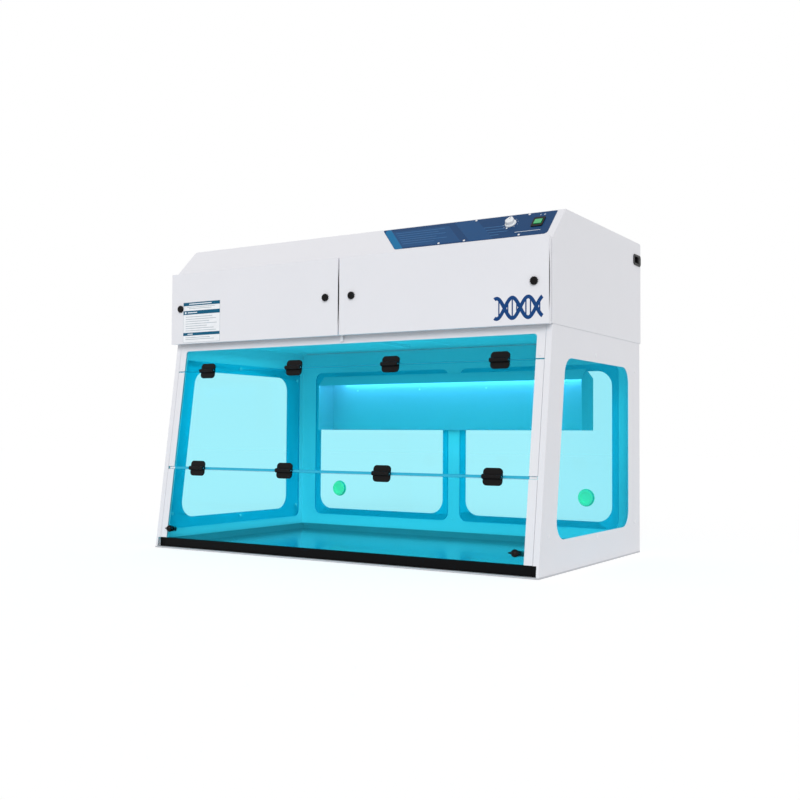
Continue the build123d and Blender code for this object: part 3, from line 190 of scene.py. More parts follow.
def rgba(colour, alpha=1.0):
    return (colour[0], colour[1], colour[2], alpha)


def tinted(colour, factor):
    return tuple(min(1.0, c * factor) for c in colour)


def noise(tree, vector, scale, detail=2.0, roughness=0.5):
    """Noise texture's value."""
    return add(tree, "ShaderNodeTexNoise", inputs={
        "Vector": vector, "Scale": scale, "Detail": detail, "Roughness": roughness}).outputs[0]


def between(tree, factor, low, high):
    """Colour between two colours."""
    shade = add(tree, "ShaderNodeMix", {"data_type": "RGBA"}, {"Factor": factor})
    shade.inputs[6].default_value = rgba(low)
    shade.inputs[7].default_value = rgba(high)
    return shade.outputs[2]


def spread(tree, value, low, high):
    """Value from 0 to 1 spread over a range."""
    return add(tree, "ShaderNodeMapRange", inputs={"Value": value, "To Min": low, "To Max": high}).outputs[0]


def emboss(tree, height, strength, depth):
    """Normal of a bump, its depth in metres."""
    return add(tree, "ShaderNodeBump",
        inputs={"Height": height, "Strength": strength, "Distance": depth}).outputs[0]


def math_node(tree, operation, first, second):
    """Result of a calculation on two values."""
    return add(tree, "ShaderNodeMath", {"operation": operation}, {0: first, 1: second}).outputs[0]


def any_ray(tree, *kinds):
    """One for a ray of any of the kinds named, else zero."""
    path = add(tree, "ShaderNodeLightPath")
    found = path.outputs[kinds[0]]
    for kind in kinds[1:]:
        found = math_node(tree, "MAXIMUM", found, path.outputs[kind])
    return found


def surface_bump(tree, vector, size, depth, detail=2.0):
    """Bump of a fine texture: size of its grain and its depth, both in metres."""
    return emboss(tree, noise(tree, vector, 1 / size, detail, 0.55), 0.35, depth)


def powder_coat(name, colour, roughness=0.42, coat=0.08, specular=0.5):
    """Polyester powder coat on steel: satin, with a faint orange peel and hardly any change of shade."""
    material, tree, output = new_material(name)
    place = add(tree, "ShaderNodeTexCoord")
    cloud = noise(tree, place.outputs["Object"], 5.0, 3.0)
    # Orange peel is about 1.5 mm across and a few hundredths of a millimetre deep
    peel = surface_bump(tree, place.outputs["Object"], 0.0015, 0.00004)
    shader = add(tree, "ShaderNodeBsdfPrincipled", inputs={
        "Base Color": between(tree, cloud, tinted(colour, 0.975), tinted(colour, 1.015)),
        "Roughness": spread(tree, cloud, roughness - 0.04, roughness + 0.05),
        "Normal": peel, "IOR": 1.5, "Coat Weight": coat, "Coat Roughness": 0.3,
        "Specular IOR Level": specular})
    tree.links.new(shader.outputs[0], output.inputs["Surface"])
    return material


def brushed_steel(name, colour, roughness=0.26, across=(3.0, 900.0, 900.0), metallic=1.0):
    """Brushed stainless steel: fine lines along the sheet and a long soft gleam."""
    material, tree, output = new_material(name)
    place = add(tree, "ShaderNodeTexCoord")
    stretch = add(tree, "ShaderNodeMapping", inputs={"Vector": place.outputs["Object"], "Scale": across})
    lines = noise(tree, stretch.outputs[0], 1.0, 4.0)
    shader = add(tree, "ShaderNodeBsdfPrincipled", inputs={
        "Base Color": between(tree, lines, tinted(colour, 0.92), tinted(colour, 1.05)),
        "Roughness": spread(tree, lines, roughness - 0.07, roughness + 0.09),
        "Normal": emboss(tree, lines, 0.12, 0.00003), "Metallic": metallic})
    tree.links.new(shader.outputs[0], output.inputs["Surface"])
    return material


def moulded_plastic(name, colour, roughness=0.4, grain=0.0008, coat=0.0, glow=0.0, specular=0.5):
    """Injection-moulded ABS: even colour, a fine spark-eroded grain, soft gleam on the rounded edges."""
    material, tree, output = new_material(name)
    place = add(tree, "ShaderNodeTexCoord")
    cloud = noise(tree, place.outputs["Object"], 60.0, 3.0)
    shader = add(tree, "ShaderNodeBsdfPrincipled", inputs={
        "Base Color": between(tree, cloud, tinted(colour, 0.93), tinted(colour, 1.08)),
        "Roughness": spread(tree, cloud, roughness - 0.06, roughness + 0.06),
        "Normal": surface_bump(tree, place.outputs["Object"], grain,
            0.00004), "IOR": 1.53, "Coat Weight": coat,
        "Specular IOR Level": specular, "Emission Color": rgba(colour), "Emission Strength": glow})
    tree.links.new(shader.outputs[0], output.inputs["Surface"])
    return material


def tinted_pane(name, facing, seen, lit):
    """Acrylic sheet: pale blue to look through, bluer for the light that falls in, deep at its edges."""
    material, tree, output = new_material(name)
    place = add(tree, "ShaderNodeTexCoord")
    # Extruded sheet is never quite flat: a slow wave about 120 mm long bends its reflections
    wave = surface_bump(tree, place.outputs["Object"], 0.12, 0.00005, 0.0)
    # The sheet mirrors little straight on and most at a grazing angle, tinted as the sheet is
    grazing = add(tree, "ShaderNodeLayerWeight")
    share = spread(tree, math_node(tree, "POWER", grazing.outputs["Facing"], 5.0), 0.02, 0.6)
    clear = add(tree, "ShaderNodeBsdfTransparent", inputs={"Color": rgba(seen)})
    mirror = add(tree, "ShaderNodeBsdfGlossy", inputs={
        "Color": rgba(linear("38C0E0")), "Roughness": 0.02, "Normal": wave})
    sheet = add(tree, "ShaderNodeMixShader", inputs={"Fac": share, 1: clear.outputs[0], 2: mirror.outputs[0]})
    # Sawn edges are deep blue, and a faint emission paints on them a glow of the light the sheet carries to
    # its edges
    edge = add(tree, "ShaderNodeBsdfPrincipled", inputs={
        "Base Color": rgba(linear("1E96B4")), "Roughness": 0.5, "IOR": 1.49, "Specular IOR Level": 0.1,
        "Emission Color": rgba(linear("20B0D8")), "Emission Strength": 0.08})
    turned = add(tree, "ShaderNodeVectorMath", {"operation": "DOT_PRODUCT"}, {
        0: place.outputs["Normal"], 1: facing})
    size = add(tree, "ShaderNodeMath", {"operation": "ABSOLUTE"}, {0: turned.outputs["Value"]})
    on_face = math_node(tree, "GREATER_THAN", size.outputs[0], 0.6)
    body = add(tree, "ShaderNodeMixShader", inputs={"Fac": on_face, 1: edge.outputs[0], 2: sheet.outputs[0]})
    stained = add(tree, "ShaderNodeBsdfTransparent", inputs={"Color": rgba(lit)})
    indirect = any_ray(tree, "Is Shadow Ray", "Is Diffuse Ray", "Is Glossy Ray")
    pane = add(tree, "ShaderNodeMixShader",
        inputs={"Fac": indirect, 1: body.outputs[0], 2: stained.outputs[0]})
    tree.links.new(pane.outputs[0], output.inputs["Surface"])
    return material


def lamp_glass(name, colour, strength):
    """Lit lamp tube: glass that is all glow."""
    material, tree, output = new_material(name)
    place = add(tree, "ShaderNodeTexCoord")
    cloud = noise(tree, place.outputs["Object"], 8.0)
    shader = add(tree, "ShaderNodeBsdfPrincipled", inputs={
        "Base Color": between(tree, cloud, colour, tinted(colour, 1.2)), "Roughness": 0.15,
        "Emission Color": rgba(colour), "Emission Strength": strength})
    tree.links.new(shader.outputs[0], output.inputs["Surface"])
    return material


def filter_fleece(name, colour):
    """Glass-fibre media and synthetic fleece: matt, white and fibrous."""
    material, tree, output = new_material(name)
    place = add(tree, "ShaderNodeTexCoord")
    fibre = noise(tree, place.outputs["Object"], 700.0, 6.0)
    shader = add(tree, "ShaderNodeBsdfPrincipled", inputs={
        "Base Color": between(tree, fibre, tinted(colour, 0.85), colour), "Roughness": 0.9,
        "Normal": emboss(tree, fibre, 0.6, 0.0004), "Sheen Weight": 0.2})
    tree.links.new(shader.outputs[0], output.inputs["Surface"])
    return material


def finishes():
    """Every material of the cabinet by its slot in the record."""
    if "made" in finishes.__dict__:
        return finishes.made
    c = colours()
    steel = linear("C9CDD1")
    finishes.made = {
        "white_paint": powder_coat("powder_coat_white", c.white_coat),
        "hood_paint": powder_coat("powder_coat_hood", c.white_coat),
        "base_plate_steel": powder_coat("powder_coat_grey", linear("BFC1C6"), 0.45),
        "tray_black": powder_coat("powder_coat_black", linear("070708"), 0.45, 0.0, 0.08),
        "stainless_steel": brushed_steel("stainless_brushed", steel, 0.16),
        "upstand_steel": brushed_steel("steel_satin_upstand", linear("8E979C"), 0.4, metallic=0.3),
        "lamp_steel": brushed_steel("steel_satin_lamp", linear("B4C4CC"), 0.36, metallic=0.35),
        "tinted_pane": tinted_pane("acrylic_pale_blue_front", SASH_OUT, PANE_SEEN, PANE_LIT),
        "side_pane": tinted_pane("acrylic_pale_blue_side", Vector((1, 0, 0)), PANE_SEEN, PANE_LIT),
        "back_pane": tinted_pane("acrylic_pale_blue_back", Vector((0, 1, 0)), PANE_SEEN, PANE_LIT),
        "hinge_black": moulded_plastic("nylon_black_hinge", c.hinge_black, 0.4, 0.0009, specular=0.12),
        "pin_steel": brushed_steel("steel_pin", linear("B4B6B8"), 0.3),
        "knob_black": moulded_plastic("phenolic_black_knob", c.hinge_black, 0.3, 0.0007, specular=0.12),
        "screw_white": moulded_plastic("nylon_white_cap", linear("E9E9ED"), 0.35),
        # The port plugs' emission of 0.3 is a painted glow; they hold no lamp
        "port_green": moulded_plastic("silicone_green_port_painted_glow", c.port_green, 0.5, 0.001, 0.0, 0.3),
        "lamp_tube_glass": lamp_glass("lamp_glass_lit", c.lamp_glow, 9.0),
        "lamp_holder_white": moulded_plastic("lamp_holder_white", linear("DDE3E8"), 0.4),
        "seal_blue": moulded_plastic("soft_pvc_blue_seal", linear("38B4D4"), 0.6, 0.0009, specular=0.1),
        "gasket_rubber": moulded_plastic("foam_rubber_black", linear("18181A"), 0.85, 0.0012),
        "filter_frame_aluminium": brushed_steel("aluminium_frame", linear("BFC2C6"), 0.35),
        "filter_media": filter_fleece("glass_fibre_media", linear("EEEEE8")),
        "motor_aluminium": brushed_steel("aluminium_cast", linear("8E9196"), 0.45),
        "impeller_black": moulded_plastic("nylon_black_impeller", linear("26282B"), 0.5),
        "panel_film_blue": moulded_plastic("polyester_film_blue", c.print_blue, 0.5, 0.0005, specular=0.12),
        "control_box_grey": moulded_plastic("abs_grey_box", linear("6C7076"), 0.5),
        "knob_white": moulded_plastic("abs_white_knob", linear("E4E7EA"), 0.35),
        "bezel_black": moulded_plastic("abs_black_bezel", linear("0E0E10"), 0.35, specular=0.12),
        "rocker_green": moulded_plastic("polycarbonate_green_rocker", linear("149A52"), 0.2, 0.0008, 0.4,
            0.25),
        "accent_ink": moulded_plastic("ink_light_blue", c.accent_blue, 0.5, 0.0005, specular=0.12),
        "faint_ink": moulded_plastic("ink_mid_blue", linear("3C6E9E"), 0.5, 0.0005, specular=0.12),
        "field_ink": moulded_plastic("ink_field_blue", linear("1D4B7A"), 0.5, 0.0005, specular=0.12),
        "pale_ink": moulded_plastic("ink_white", linear("E8F0F6"), 0.4, 0.0005),
        "teal_ink": moulded_plastic("ink_teal", c.label_teal, 0.5, 0.0005, specular=0.15),
        "grey_ink": moulded_plastic("ink_grey", linear("A9B4BC"), 0.4, 0.0005),
        "symbol_ink": moulded_plastic("ink_dark_blue", c.symbol_blue, 0.5, 0.0005, specular=0.15),
        "label_paper": moulded_plastic("vinyl_label_white", linear("EEF0F4"), 0.45, 0.0006),
    }
    return finishes.made


def only(piece):
    """Selects one object and nothing else."""
    bpy.ops.object.select_all(action="DESELECT")
    piece.select_set(True)
    bpy.context.view_layer.objects.active = piece


def place(piece, matrix=None):
    """Bakes a piece's place, and a layout plane's matrix, into its mesh."""
    only(piece)
    if matrix is not None:
        piece.matrix_world = matrix @ piece.matrix_world
    bpy.ops.object.transform_apply(location=True, rotation=True, scale=True)
    return piece


def edit(piece):
    """Opens a piece in edit mode with nothing selected and returns its mesh."""
    only(piece)
    bpy.ops.object.mode_set(mode="EDIT")
    bpy.ops.mesh.select_mode(type="EDGE")
    bpy.ops.mesh.select_all(action="DESELECT")
    return bmesh.from_edit_mesh(piece.data)


def pick_edges(piece, test):
    """Selects the edges of an open piece that pass a test on their two ends."""
    mesh = bmesh.from_edit_mesh(piece.data)
    for edge in mesh.edges:
        edge.select_set(test(edge.verts[0].co, edge.verts[1].co))
    bmesh.update_edit_mesh(piece.data)


def pick_faces(piece, test):
    """Selects the faces of an open piece that pass a test on normal and centre."""
    bpy.ops.mesh.select_mode(type="FACE")
    mesh = bmesh.from_edit_mesh(piece.data)
    for face in mesh.faces:
        face.select_set(test(face.normal, face.calc_center_median()))
    bmesh.update_edit_mesh(piece.data)


def close_edit(piece, angle=35):
    """Leaves edit mode and shades a piece smooth up to an angle."""
    bpy.ops.object.mode_set(mode="OBJECT")
    only(piece)
    bpy.ops.object.shade_smooth_by_angle(angle=math.radians(angle))


def dress(piece, name, finish, body, slot=None):
    """Names a piece, gives it its finish and lets it ride on its body."""
    piece.name = name
    piece.data.name = name
    piece.data.materials.clear()
    piece.data.materials.append(finishes()[finish])
    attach(piece, body)
    return piece


def sheet(outline, matrix, lift, thick, rounds=None, soft=None, steps=1):
    """Plate on a layout plane, in mm: an extruded outline, with corners rounded and a soft top edge."""
    bpy.ops.object.select_all(action="DESELECT")
    bpy.ops.mesh.primitive_circle_add(vertices=len(outline), radius=1, fill_type="NGON", location=(0, 0, 0))
    piece = bpy.context.active_object
    for vertex, (x, y) in zip(piece.data.vertices, outline):
        vertex.co = (x * MM, y * MM, lift * MM)
    edit(piece)
    bpy.ops.mesh.select_all(action="SELECT")
    bpy.ops.mesh.extrude_region_move(TRANSFORM_OT_translate={"value": (0, 0, thick * MM)})
    bpy.ops.mesh.select_all(action="SELECT")
    bpy.ops.mesh.normals_make_consistent(inside=False)
    bpy.ops.mesh.select_mode(type="EDGE")
    for corner, radius in (rounds or {}).items():
        at = Vector((outline[corner][0] * MM, outline[corner][1] * MM))
        pick_edges(piece, lambda a, b: (a.xy - at).length < 1e-5 and (b.xy - at).length < 1e-5)
        bpy.ops.mesh.bevel(offset=radius * MM, segments=6, affect="EDGES")
    top = (lift + thick) * MM
    pick_edges(piece, lambda a, b: abs(a.z - top) < 1e-6 and abs(b.z - top) < 1e-6)
    bpy.ops.mesh.bevel(offset=(soft or thick * 0.3) * MM, segments=steps, affect="EDGES")
    close_edit(piece)
    return place(piece, matrix)


def bar(matrix, x0, x1, y0, y1, lift, thick, radius=0.0, skew=0.0):
    """Bar of print on a layout plane, in mm, its top moved across by skew."""
    outline = [(x0, y0), (x1, y0), (x1 + skew, y1), (x0 + skew, y1)]
    return sheet(outline, matrix, lift, thick, dict.fromkeys(range(4), radius) if radius else None)


def joined(pieces, name):
    """Joins pieces of one finish into one object."""
    bpy.ops.object.select_all(action="DESELECT")
    for piece in pieces:
        piece.select_set(True)
    bpy.context.view_layer.objects.active = pieces[0]
    bpy.ops.object.join()
    pieces[0].name = name
    pieces[0].data.name = name
    return pieces[0]


def dress_joined(pieces, name, finish, body, slot):
    """Joins pieces of one finish and lets them ride as one piece."""
    return dress(joined(pieces, name), name, finish, body, slot)


def softened(node, width, finish, segments=2):
    """Copy of a CAD node with its loose triangles merged and its hard edges rounded, in the node's place."""
    data = frame["nodes"][node].data.copy()
    piece = bpy.data.objects.new(node + "_soft", data)
    bpy.context.scene.collection.objects.link(piece)
    edit(piece)
    bpy.ops.mesh.select_all(action="SELECT")
    bpy.ops.mesh.remove_doubles(threshold=0.000002)
    bpy.ops.mesh.dissolve_limited(angle_limit=math.radians(0.3))
    bpy.ops.object.mode_set(mode="OBJECT")
    bevel = piece.modifiers.new("edge", "BEVEL")
    bevel.width = width
    bevel.segments = segments
    bevel.limit_method = "ANGLE"
    bevel.angle_limit = math.radians(35)
    bevel.use_clamp_overlap = True
    bevel.harden_normals = False
    only(piece)
    bpy.ops.object.modifier_apply(modifier="edge")
    bpy.ops.object.shade_smooth_by_angle(angle=math.radians(40))
    # Large flat sheets keep their own normal, and only the rounded edges turn
    flat = piece.modifiers.new("flat", "WEIGHTED_NORMAL")
    flat.weight = 100
    flat.keep_sharp = True
    bpy.ops.object.modifier_apply(modifier="flat")
    slot_name = next(s["material_slot"] for s in frame["record"]["subparts"] if s["node"] == node)
    dress(piece, node + "_soft", finish, NODE_BODY[node], slot_name)
    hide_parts(node)
    return piece


class CABINET_OT_finishes(bpy.types.Operator):
    """Gives every CAD node its finish"""

    bl_idname = "cabinet.finishes"
    bl_label = "Finishes of the CAD nodes"

    def execute(self, context):
        for part in frame["record"]["subparts"]:
            node = frame["nodes"][part["node"]]
            finish = finishes()[OWN_FINISH.get(part["node"], part["material_slot"])]
            if not node.material_slots:
                node.data.materials.append(finish)
            for entry in node.material_slots:
                entry.material = finish
        return {"FINISHED"}


# Black strips inside the covers, behind their relieved side returns, in mm: painted shade that darkens the
# cavity seen through the reliefs
SHADE_LINING_X = ((4.2, 12.0), (600.0, 607.8))
SHADE_LINING_Z = (609.0, 795.0)
SHADE_LINING_LIFT = -8.7
SHADE_LINING_T = 7.0


class CABINET_OT_frame_sheets(bpy.types.Operator):
    """Rounds the folded edges of the hood, the side walls, the beam and the base, and puts black strips of
    painted shade inside the covers
    """

    bl_idname = "cabinet.frame_sheets"
    bl_label = "Folded sheet panels"

    def execute(self, context):
        width = sizes().edge_round
        for node in ("hood_shell", "side_panel_left", "side_panel_right", "top_front_beam", "back_panel"):
            softened(node, width, "white_paint")
        for node in ("cover_left", "cover_right"):
            softened(node, width * 1.4, "white_paint")
        softened("base_plate", width * 2, "base_plate_steel")
        softened("work_tray", width, "tray_black")
        softened("tray_end_caps", width, "tray_black")
        # Black strips inside each cover darken the cavity behind its relieved side returns: painted shade
        for side, cover in ((1, "cover_right"), (-1, "cover_left")):
            strips = []
            for near, far in SHADE_LINING_X:
                x0, x1 = sorted((side * near, side * far))
                strips.append(bar(COVER, x0, x1, *SHADE_LINING_Z, SHADE_LINING_LIFT, SHADE_LINING_T))
            dress_joined(strips, cover + "_shade_lining", "gasket_rubber", cover, "gasket_rubber")
        return {"FINISHED"}


# Strip that hangs from the middle pane and closes the lower hinge line, and its white ends, in mm
HINGE_SEAL_V = (231.6, 238.5)
HINGE_SEAL_HALF = 569.0
HINGE_SEAL_LIFT = -5.0
HINGE_SEAL_T = 1.4
SEAL_END_X = 579.2
SEAL_END_HALF = 10.0
# Dark strips that fill the gaps between the sash strips and the folded flanges, as painted shade of those
# gaps, in mm
SIDE_GAP_SHADE_X = 592.0
SIDE_GAP_SHADE_HALF = 0.38
SIDE_GAP_SHADE_V = (31.0, 580.0)
SIDE_GAP_SHADE_LIFT = -3.0
SIDE_GAP_SHADE_T = 1.5
# Upstand of the work surface, which ends a little below the rim of the tray, in mm
UPSTAND_DROP = 4.6
UPSTAND_T = 0.5


class CABINET_OT_seals(bpy.types.Operator):
    """Adds the hinge-line seal of the sash, dark strips of painted shade in its side gaps, and the upstand of
    the steel work surface
    """

    bl_idname = "cabinet.seals"
    bl_label = "Seals and upstand"

    def execute(self, context):
        strip = bar(SASH, -HINGE_SEAL_HALF, HINGE_SEAL_HALF, *HINGE_SEAL_V, HINGE_SEAL_LIFT, HINGE_SEAL_T)
        dress(strip, "hinge_line_seal", "seal_blue", "sash_middle", "tinted_pane")
        ends = [bar(SASH, x - SEAL_END_HALF, x + SEAL_END_HALF, *HINGE_SEAL_V, HINGE_SEAL_LIFT, HINGE_SEAL_T)
                for x in (-SEAL_END_X, SEAL_END_X)]
        dress_joined(ends, "hinge_line_seal_ends", "screw_white", "sash_middle", "screw_white")
        # Dark strips in the side gaps of the sash: painted shade
        sides = [bar(SASH, x - SIDE_GAP_SHADE_HALF, x + SIDE_GAP_SHADE_HALF, *SIDE_GAP_SHADE_V, SIDE_GAP_SHADE_LIFT, SIDE_GAP_SHADE_T)
                 for x in (-SIDE_GAP_SHADE_X, SIDE_GAP_SHADE_X)]
        dress_joined(sides, "sash_side_gap_shade", "gasket_rubber", "cabinet", "gasket_rubber")
        self.upstand()
        return {"FINISHED"}

    def upstand(self):
        """Thin steel edge turned up at the rear and the sides of the work surface"""
        low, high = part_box("work_surface")
        heights = (high.z / MM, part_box("work_tray")[1].z / MM - UPSTAND_DROP)
        rise = Vector((0, 0, 1))
        rear = plane_matrix(Vector((0, high.y, 0)), Vector((1, 0, 0)), rise)
        right = plane_matrix(Vector((high.x, 0, 0)), Vector((0, -1, 0)), rise)
        left = plane_matrix(Vector((low.x, 0, 0)), Vector((0, 1, 0)), rise)
        runs = ((rear, low.x, high.x), (right, -high.y, -low.y), (left, low.y, high.y))
        walls = [bar(matrix, start / MM, end / MM, *heights, 0, UPSTAND_T) for matrix, start, end in runs]
        dress_joined(walls, "surface_upstand", "upstand_steel", "cabinet", "stainless_steel")


class CABINET_OT_small_parts(bpy.types.Operator):
    """Rounds the moulded and turned small parts"""

    bl_idname = "cabinet.small_parts"
    bl_label = "Hinges, knobs, screws and plugs"

    def execute(self, context):
        width = sizes().hinge_round
        for node in ("hinge_leaves_top", "hinge_leaves_middle", "hinge_leaves_lower"):
            softened(node, width, "hinge_black", segments=3)
        for node in ("strips_top", "strips_middle", "strips_lower"):
            softened(node, width * 0.25, "white_paint")
        softened("wall_screws", width * 0.6, "screw_white", segments=3)
        softened("small_screws", width * 0.3, "screw_white")
        for node in ("port_plug_left", "port_plug_right"):
            softened(node, width * 0.6, "port_green")
        softened("rocker_bezel", width * 0.5, "bezel_black")
        softened("power_rocker", width * 0.6, "rocker_green", segments=3)
        softened("power_inlet", width * 0.4, "bezel_black")
        return {"FINISHED"}


# Notice label on the left cover, in mm: its outline, the thickness of its layers, and what is printed on it
LABEL_X = (-562.0, -420.0)
LABEL_Z = (601.5, 718.6)
LABEL_EDGE = 0.9
BORDER_T = 0.12
LABEL_T = 0.2
BAND_T = 0.08
LINE_T = 0.06
TITLE_T = 0.05
LABEL_BANDS = ((708.8, 718.6), (682.9, 694.2), (620.7, 629.6))
LABEL_LEFT = -553.0
LABEL_ROWS = [(705.0, -548, -440), (700.6, -540, -452)]
LABEL_ROWS += [(676.0 - 6.8 * i, LABEL_LEFT, LABEL_LEFT + length)
               for i, length in enumerate((104, 118, 92, 122, 84, 110, 120))]
LABEL_ROWS += [(615.0 - 5.2 * i, LABEL_LEFT, LABEL_LEFT + length) for i, length in enumerate((96, 112))]
LABEL_TITLES = ((-540, -452, 712.6, 715.2), (-545, -508, 687.2, 689.8), (-545, -524, 623.9, 626.3))
LABEL_DOT = (-557, -550, 685.6, 691.2)
LABEL_DOT_ROUND = 2.4
# Helix sign on the right cover, in mm
HELIX_X = (466.0, 593.0)
HELIX_MIDDLE = 639.5
HELIX_REACH = 25.0
HELIX_HALF = 4.6
HELIX_TURN = 84.0
HELIX_START = 6.0
HELIX_T = 0.2
RUNG_T = 0.15
RUNG_HALF = 1.7
RUNGS_PER_TURN = 7


class CABINET_OT_cover_prints(bpy.types.Operator):
    """Prints the plain notice label on the left cover and the plain helix on the right one"""

    bl_idname = "cabinet.cover_prints"
    bl_label = "Prints on the covers"

    def execute(self, context):
        x0, x1 = LABEL_X
        z0, z1 = LABEL_Z
        border = bar(COVER, x0 - LABEL_EDGE, x1 + LABEL_EDGE, z0 - LABEL_EDGE, z1 + LABEL_EDGE, 0, BORDER_T)
        dress(border, "label_border", "grey_ink", "cover_left", "white_paint")
        paper = bar(COVER, x0, x1, z0, z1, 0, LABEL_T)
        dress(paper, "label_sheet", "label_paper", "cover_left", "white_paint")
        bands = [bar(COVER, x0, x1, low, high, LABEL_T, BAND_T) for low, high in LABEL_BANDS]
        dress_joined(bands, "label_bands", "teal_ink", "cover_left", "panel_film_blue")
        # Rows of plain bars stand where the notice has its words
        lines = [bar(COVER, left, right, z - 0.8, z + 0.8, LABEL_T, LINE_T) for z, left, right in LABEL_ROWS]
        dress_joined(lines, "label_lines", "grey_ink", "cover_left", "white_paint")
        band_top = LABEL_T + BAND_T
        titles = [bar(COVER, *title, band_top, TITLE_T) for title in LABEL_TITLES]
        titles.append(bar(COVER, *LABEL_DOT, band_top, TITLE_T, LABEL_DOT_ROUND))
        dress_joined(titles, "label_titles", "pale_ink", "cover_left", "knob_white")
        self.helix()
        return {"FINISHED"}

    def helix(self):
        """Two crossing ribbons with rungs, as a plain sign for work with genes"""
        pieces = [self.ribbon(1, 0.0), self.ribbon(-1, 0.12)]
        for step in range(-1, 11):
            along = HELIX_X[0] + HELIX_START + HELIX_TURN * (step + 0.5) / RUNGS_PER_TURN
            reach = abs(HELIX_REACH * math.cos(self.phase(along))) - HELIX_HALF * 0.4
            if reach > HELIX_HALF and HELIX_X[0] + 3 < along < HELIX_X[1] - 3:
                low, high = HELIX_MIDDLE - reach, HELIX_MIDDLE + reach
                pieces.append(bar(COVER, along - RUNG_HALF, along + RUNG_HALF, low, high, 0, RUNG_T))
        dress_joined(pieces, "helix_sign", "symbol_ink", "cover_right", "panel_film_blue")

    def phase(self, along):
        """Angle of the helix at a place along it"""
        return 2 * math.pi * (along - HELIX_X[0] - HELIX_START) / HELIX_TURN

    def ribbon(self, side, lift):
        """One wavy ribbon of the helix, of even width"""
        bpy.ops.object.select_all(action="DESELECT")
        bpy.ops.mesh.primitive_grid_add(x_subdivisions=48, y_subdivisions=1, size=1)
        ribbon = bpy.context.active_object
        for vertex in ribbon.data.vertices:
            along = HELIX_X[0] + (vertex.co.x + 0.5) * (HELIX_X[1] - HELIX_X[0])
            rise = side * HELIX_REACH * math.cos(self.phase(along))
            slope = -side * HELIX_REACH * 2 * math.pi / HELIX_TURN * math.sin(self.phase(along))
            normal = Vector((-slope, 1)).normalized() * (HELIX_HALF if vertex.co.y > 0 else -HELIX_HALF)
            vertex.co = ((along + normal.x) * MM, (HELIX_MIDDLE + rise + normal.y) * MM, lift * MM)
        edit(ribbon)
        bpy.ops.mesh.select_all(action="SELECT")
        bpy.ops.mesh.extrude_region_move(TRANSFORM_OT_translate={"value": (0, 0, HELIX_T * MM)})
        bpy.ops.mesh.select_all(action="SELECT")
        bpy.ops.mesh.normals_make_consistent(inside=False)
        close_edit(ribbon)
        return place(ribbon, COVER)


# Control film on the slope, in mm: across from the middle, and up from the slope's top edge
FILM_TOP = -3.0
FILM_FOOT = -99.0
FILM_T = 0.6
FILM_LEAN = -79.0
FILM_H = FILM_TOP - FILM_FOOT
STRIP_T = 0.1
STRIP_OUTLINE = (
    (161.5, -98.7), (182, -98.7), (103, -3.3), (99.5, -3.3), (93.5, -5.0), (90.5, -9.5), (91.5, -18.0),
    (156.5, -97.3))
FIELD_T = 0.08
FIELD_EDGE = 1.5
FIELD_X = (300, 366)
ROW_FIELD_X = (112, 288)
ROW_FIELD_Y = (-17, -93)
ROW_T = 0.05
ROW_HALF = 1.0
# Rows of plain bars: left end at the top, first height, step, lengths, lift and how far they follow the lean
LEFT_ROWS = (122, -26, 10.4, (150, 128, 144, 112, 138, 96), FILM_T + 0.14)
RIGHT_ROWS = (372, -46, 12.0, (88, 76, 84, 60), FILM_T)
RIGHT_FOLLOW = 0.35
# Dial of the fan speed and the marks of the switch
DIAL = (474, -40)
DIAL_TICKS = 9
DIAL_START = -135
DIAL_STEP = 33.75
DIAL_NEAR = 18.5
DIAL_FAR = 20.5
TICK_HALF = 0.45
TICK_GROWTH = 0.12
MARK_T = 0.08
FINE_MARK_T = 0.06
DIAL_DOT = (469, -58, 2.6)
OFF_RING = (559, -14.5, 2.2)
OFF_CENTRE = (559, -14.5, 1.3)
ON_BAR = (547.3, 548.7, -17, -11.6)
UNDERLINE = (498, 567, -80.6, -79.2)


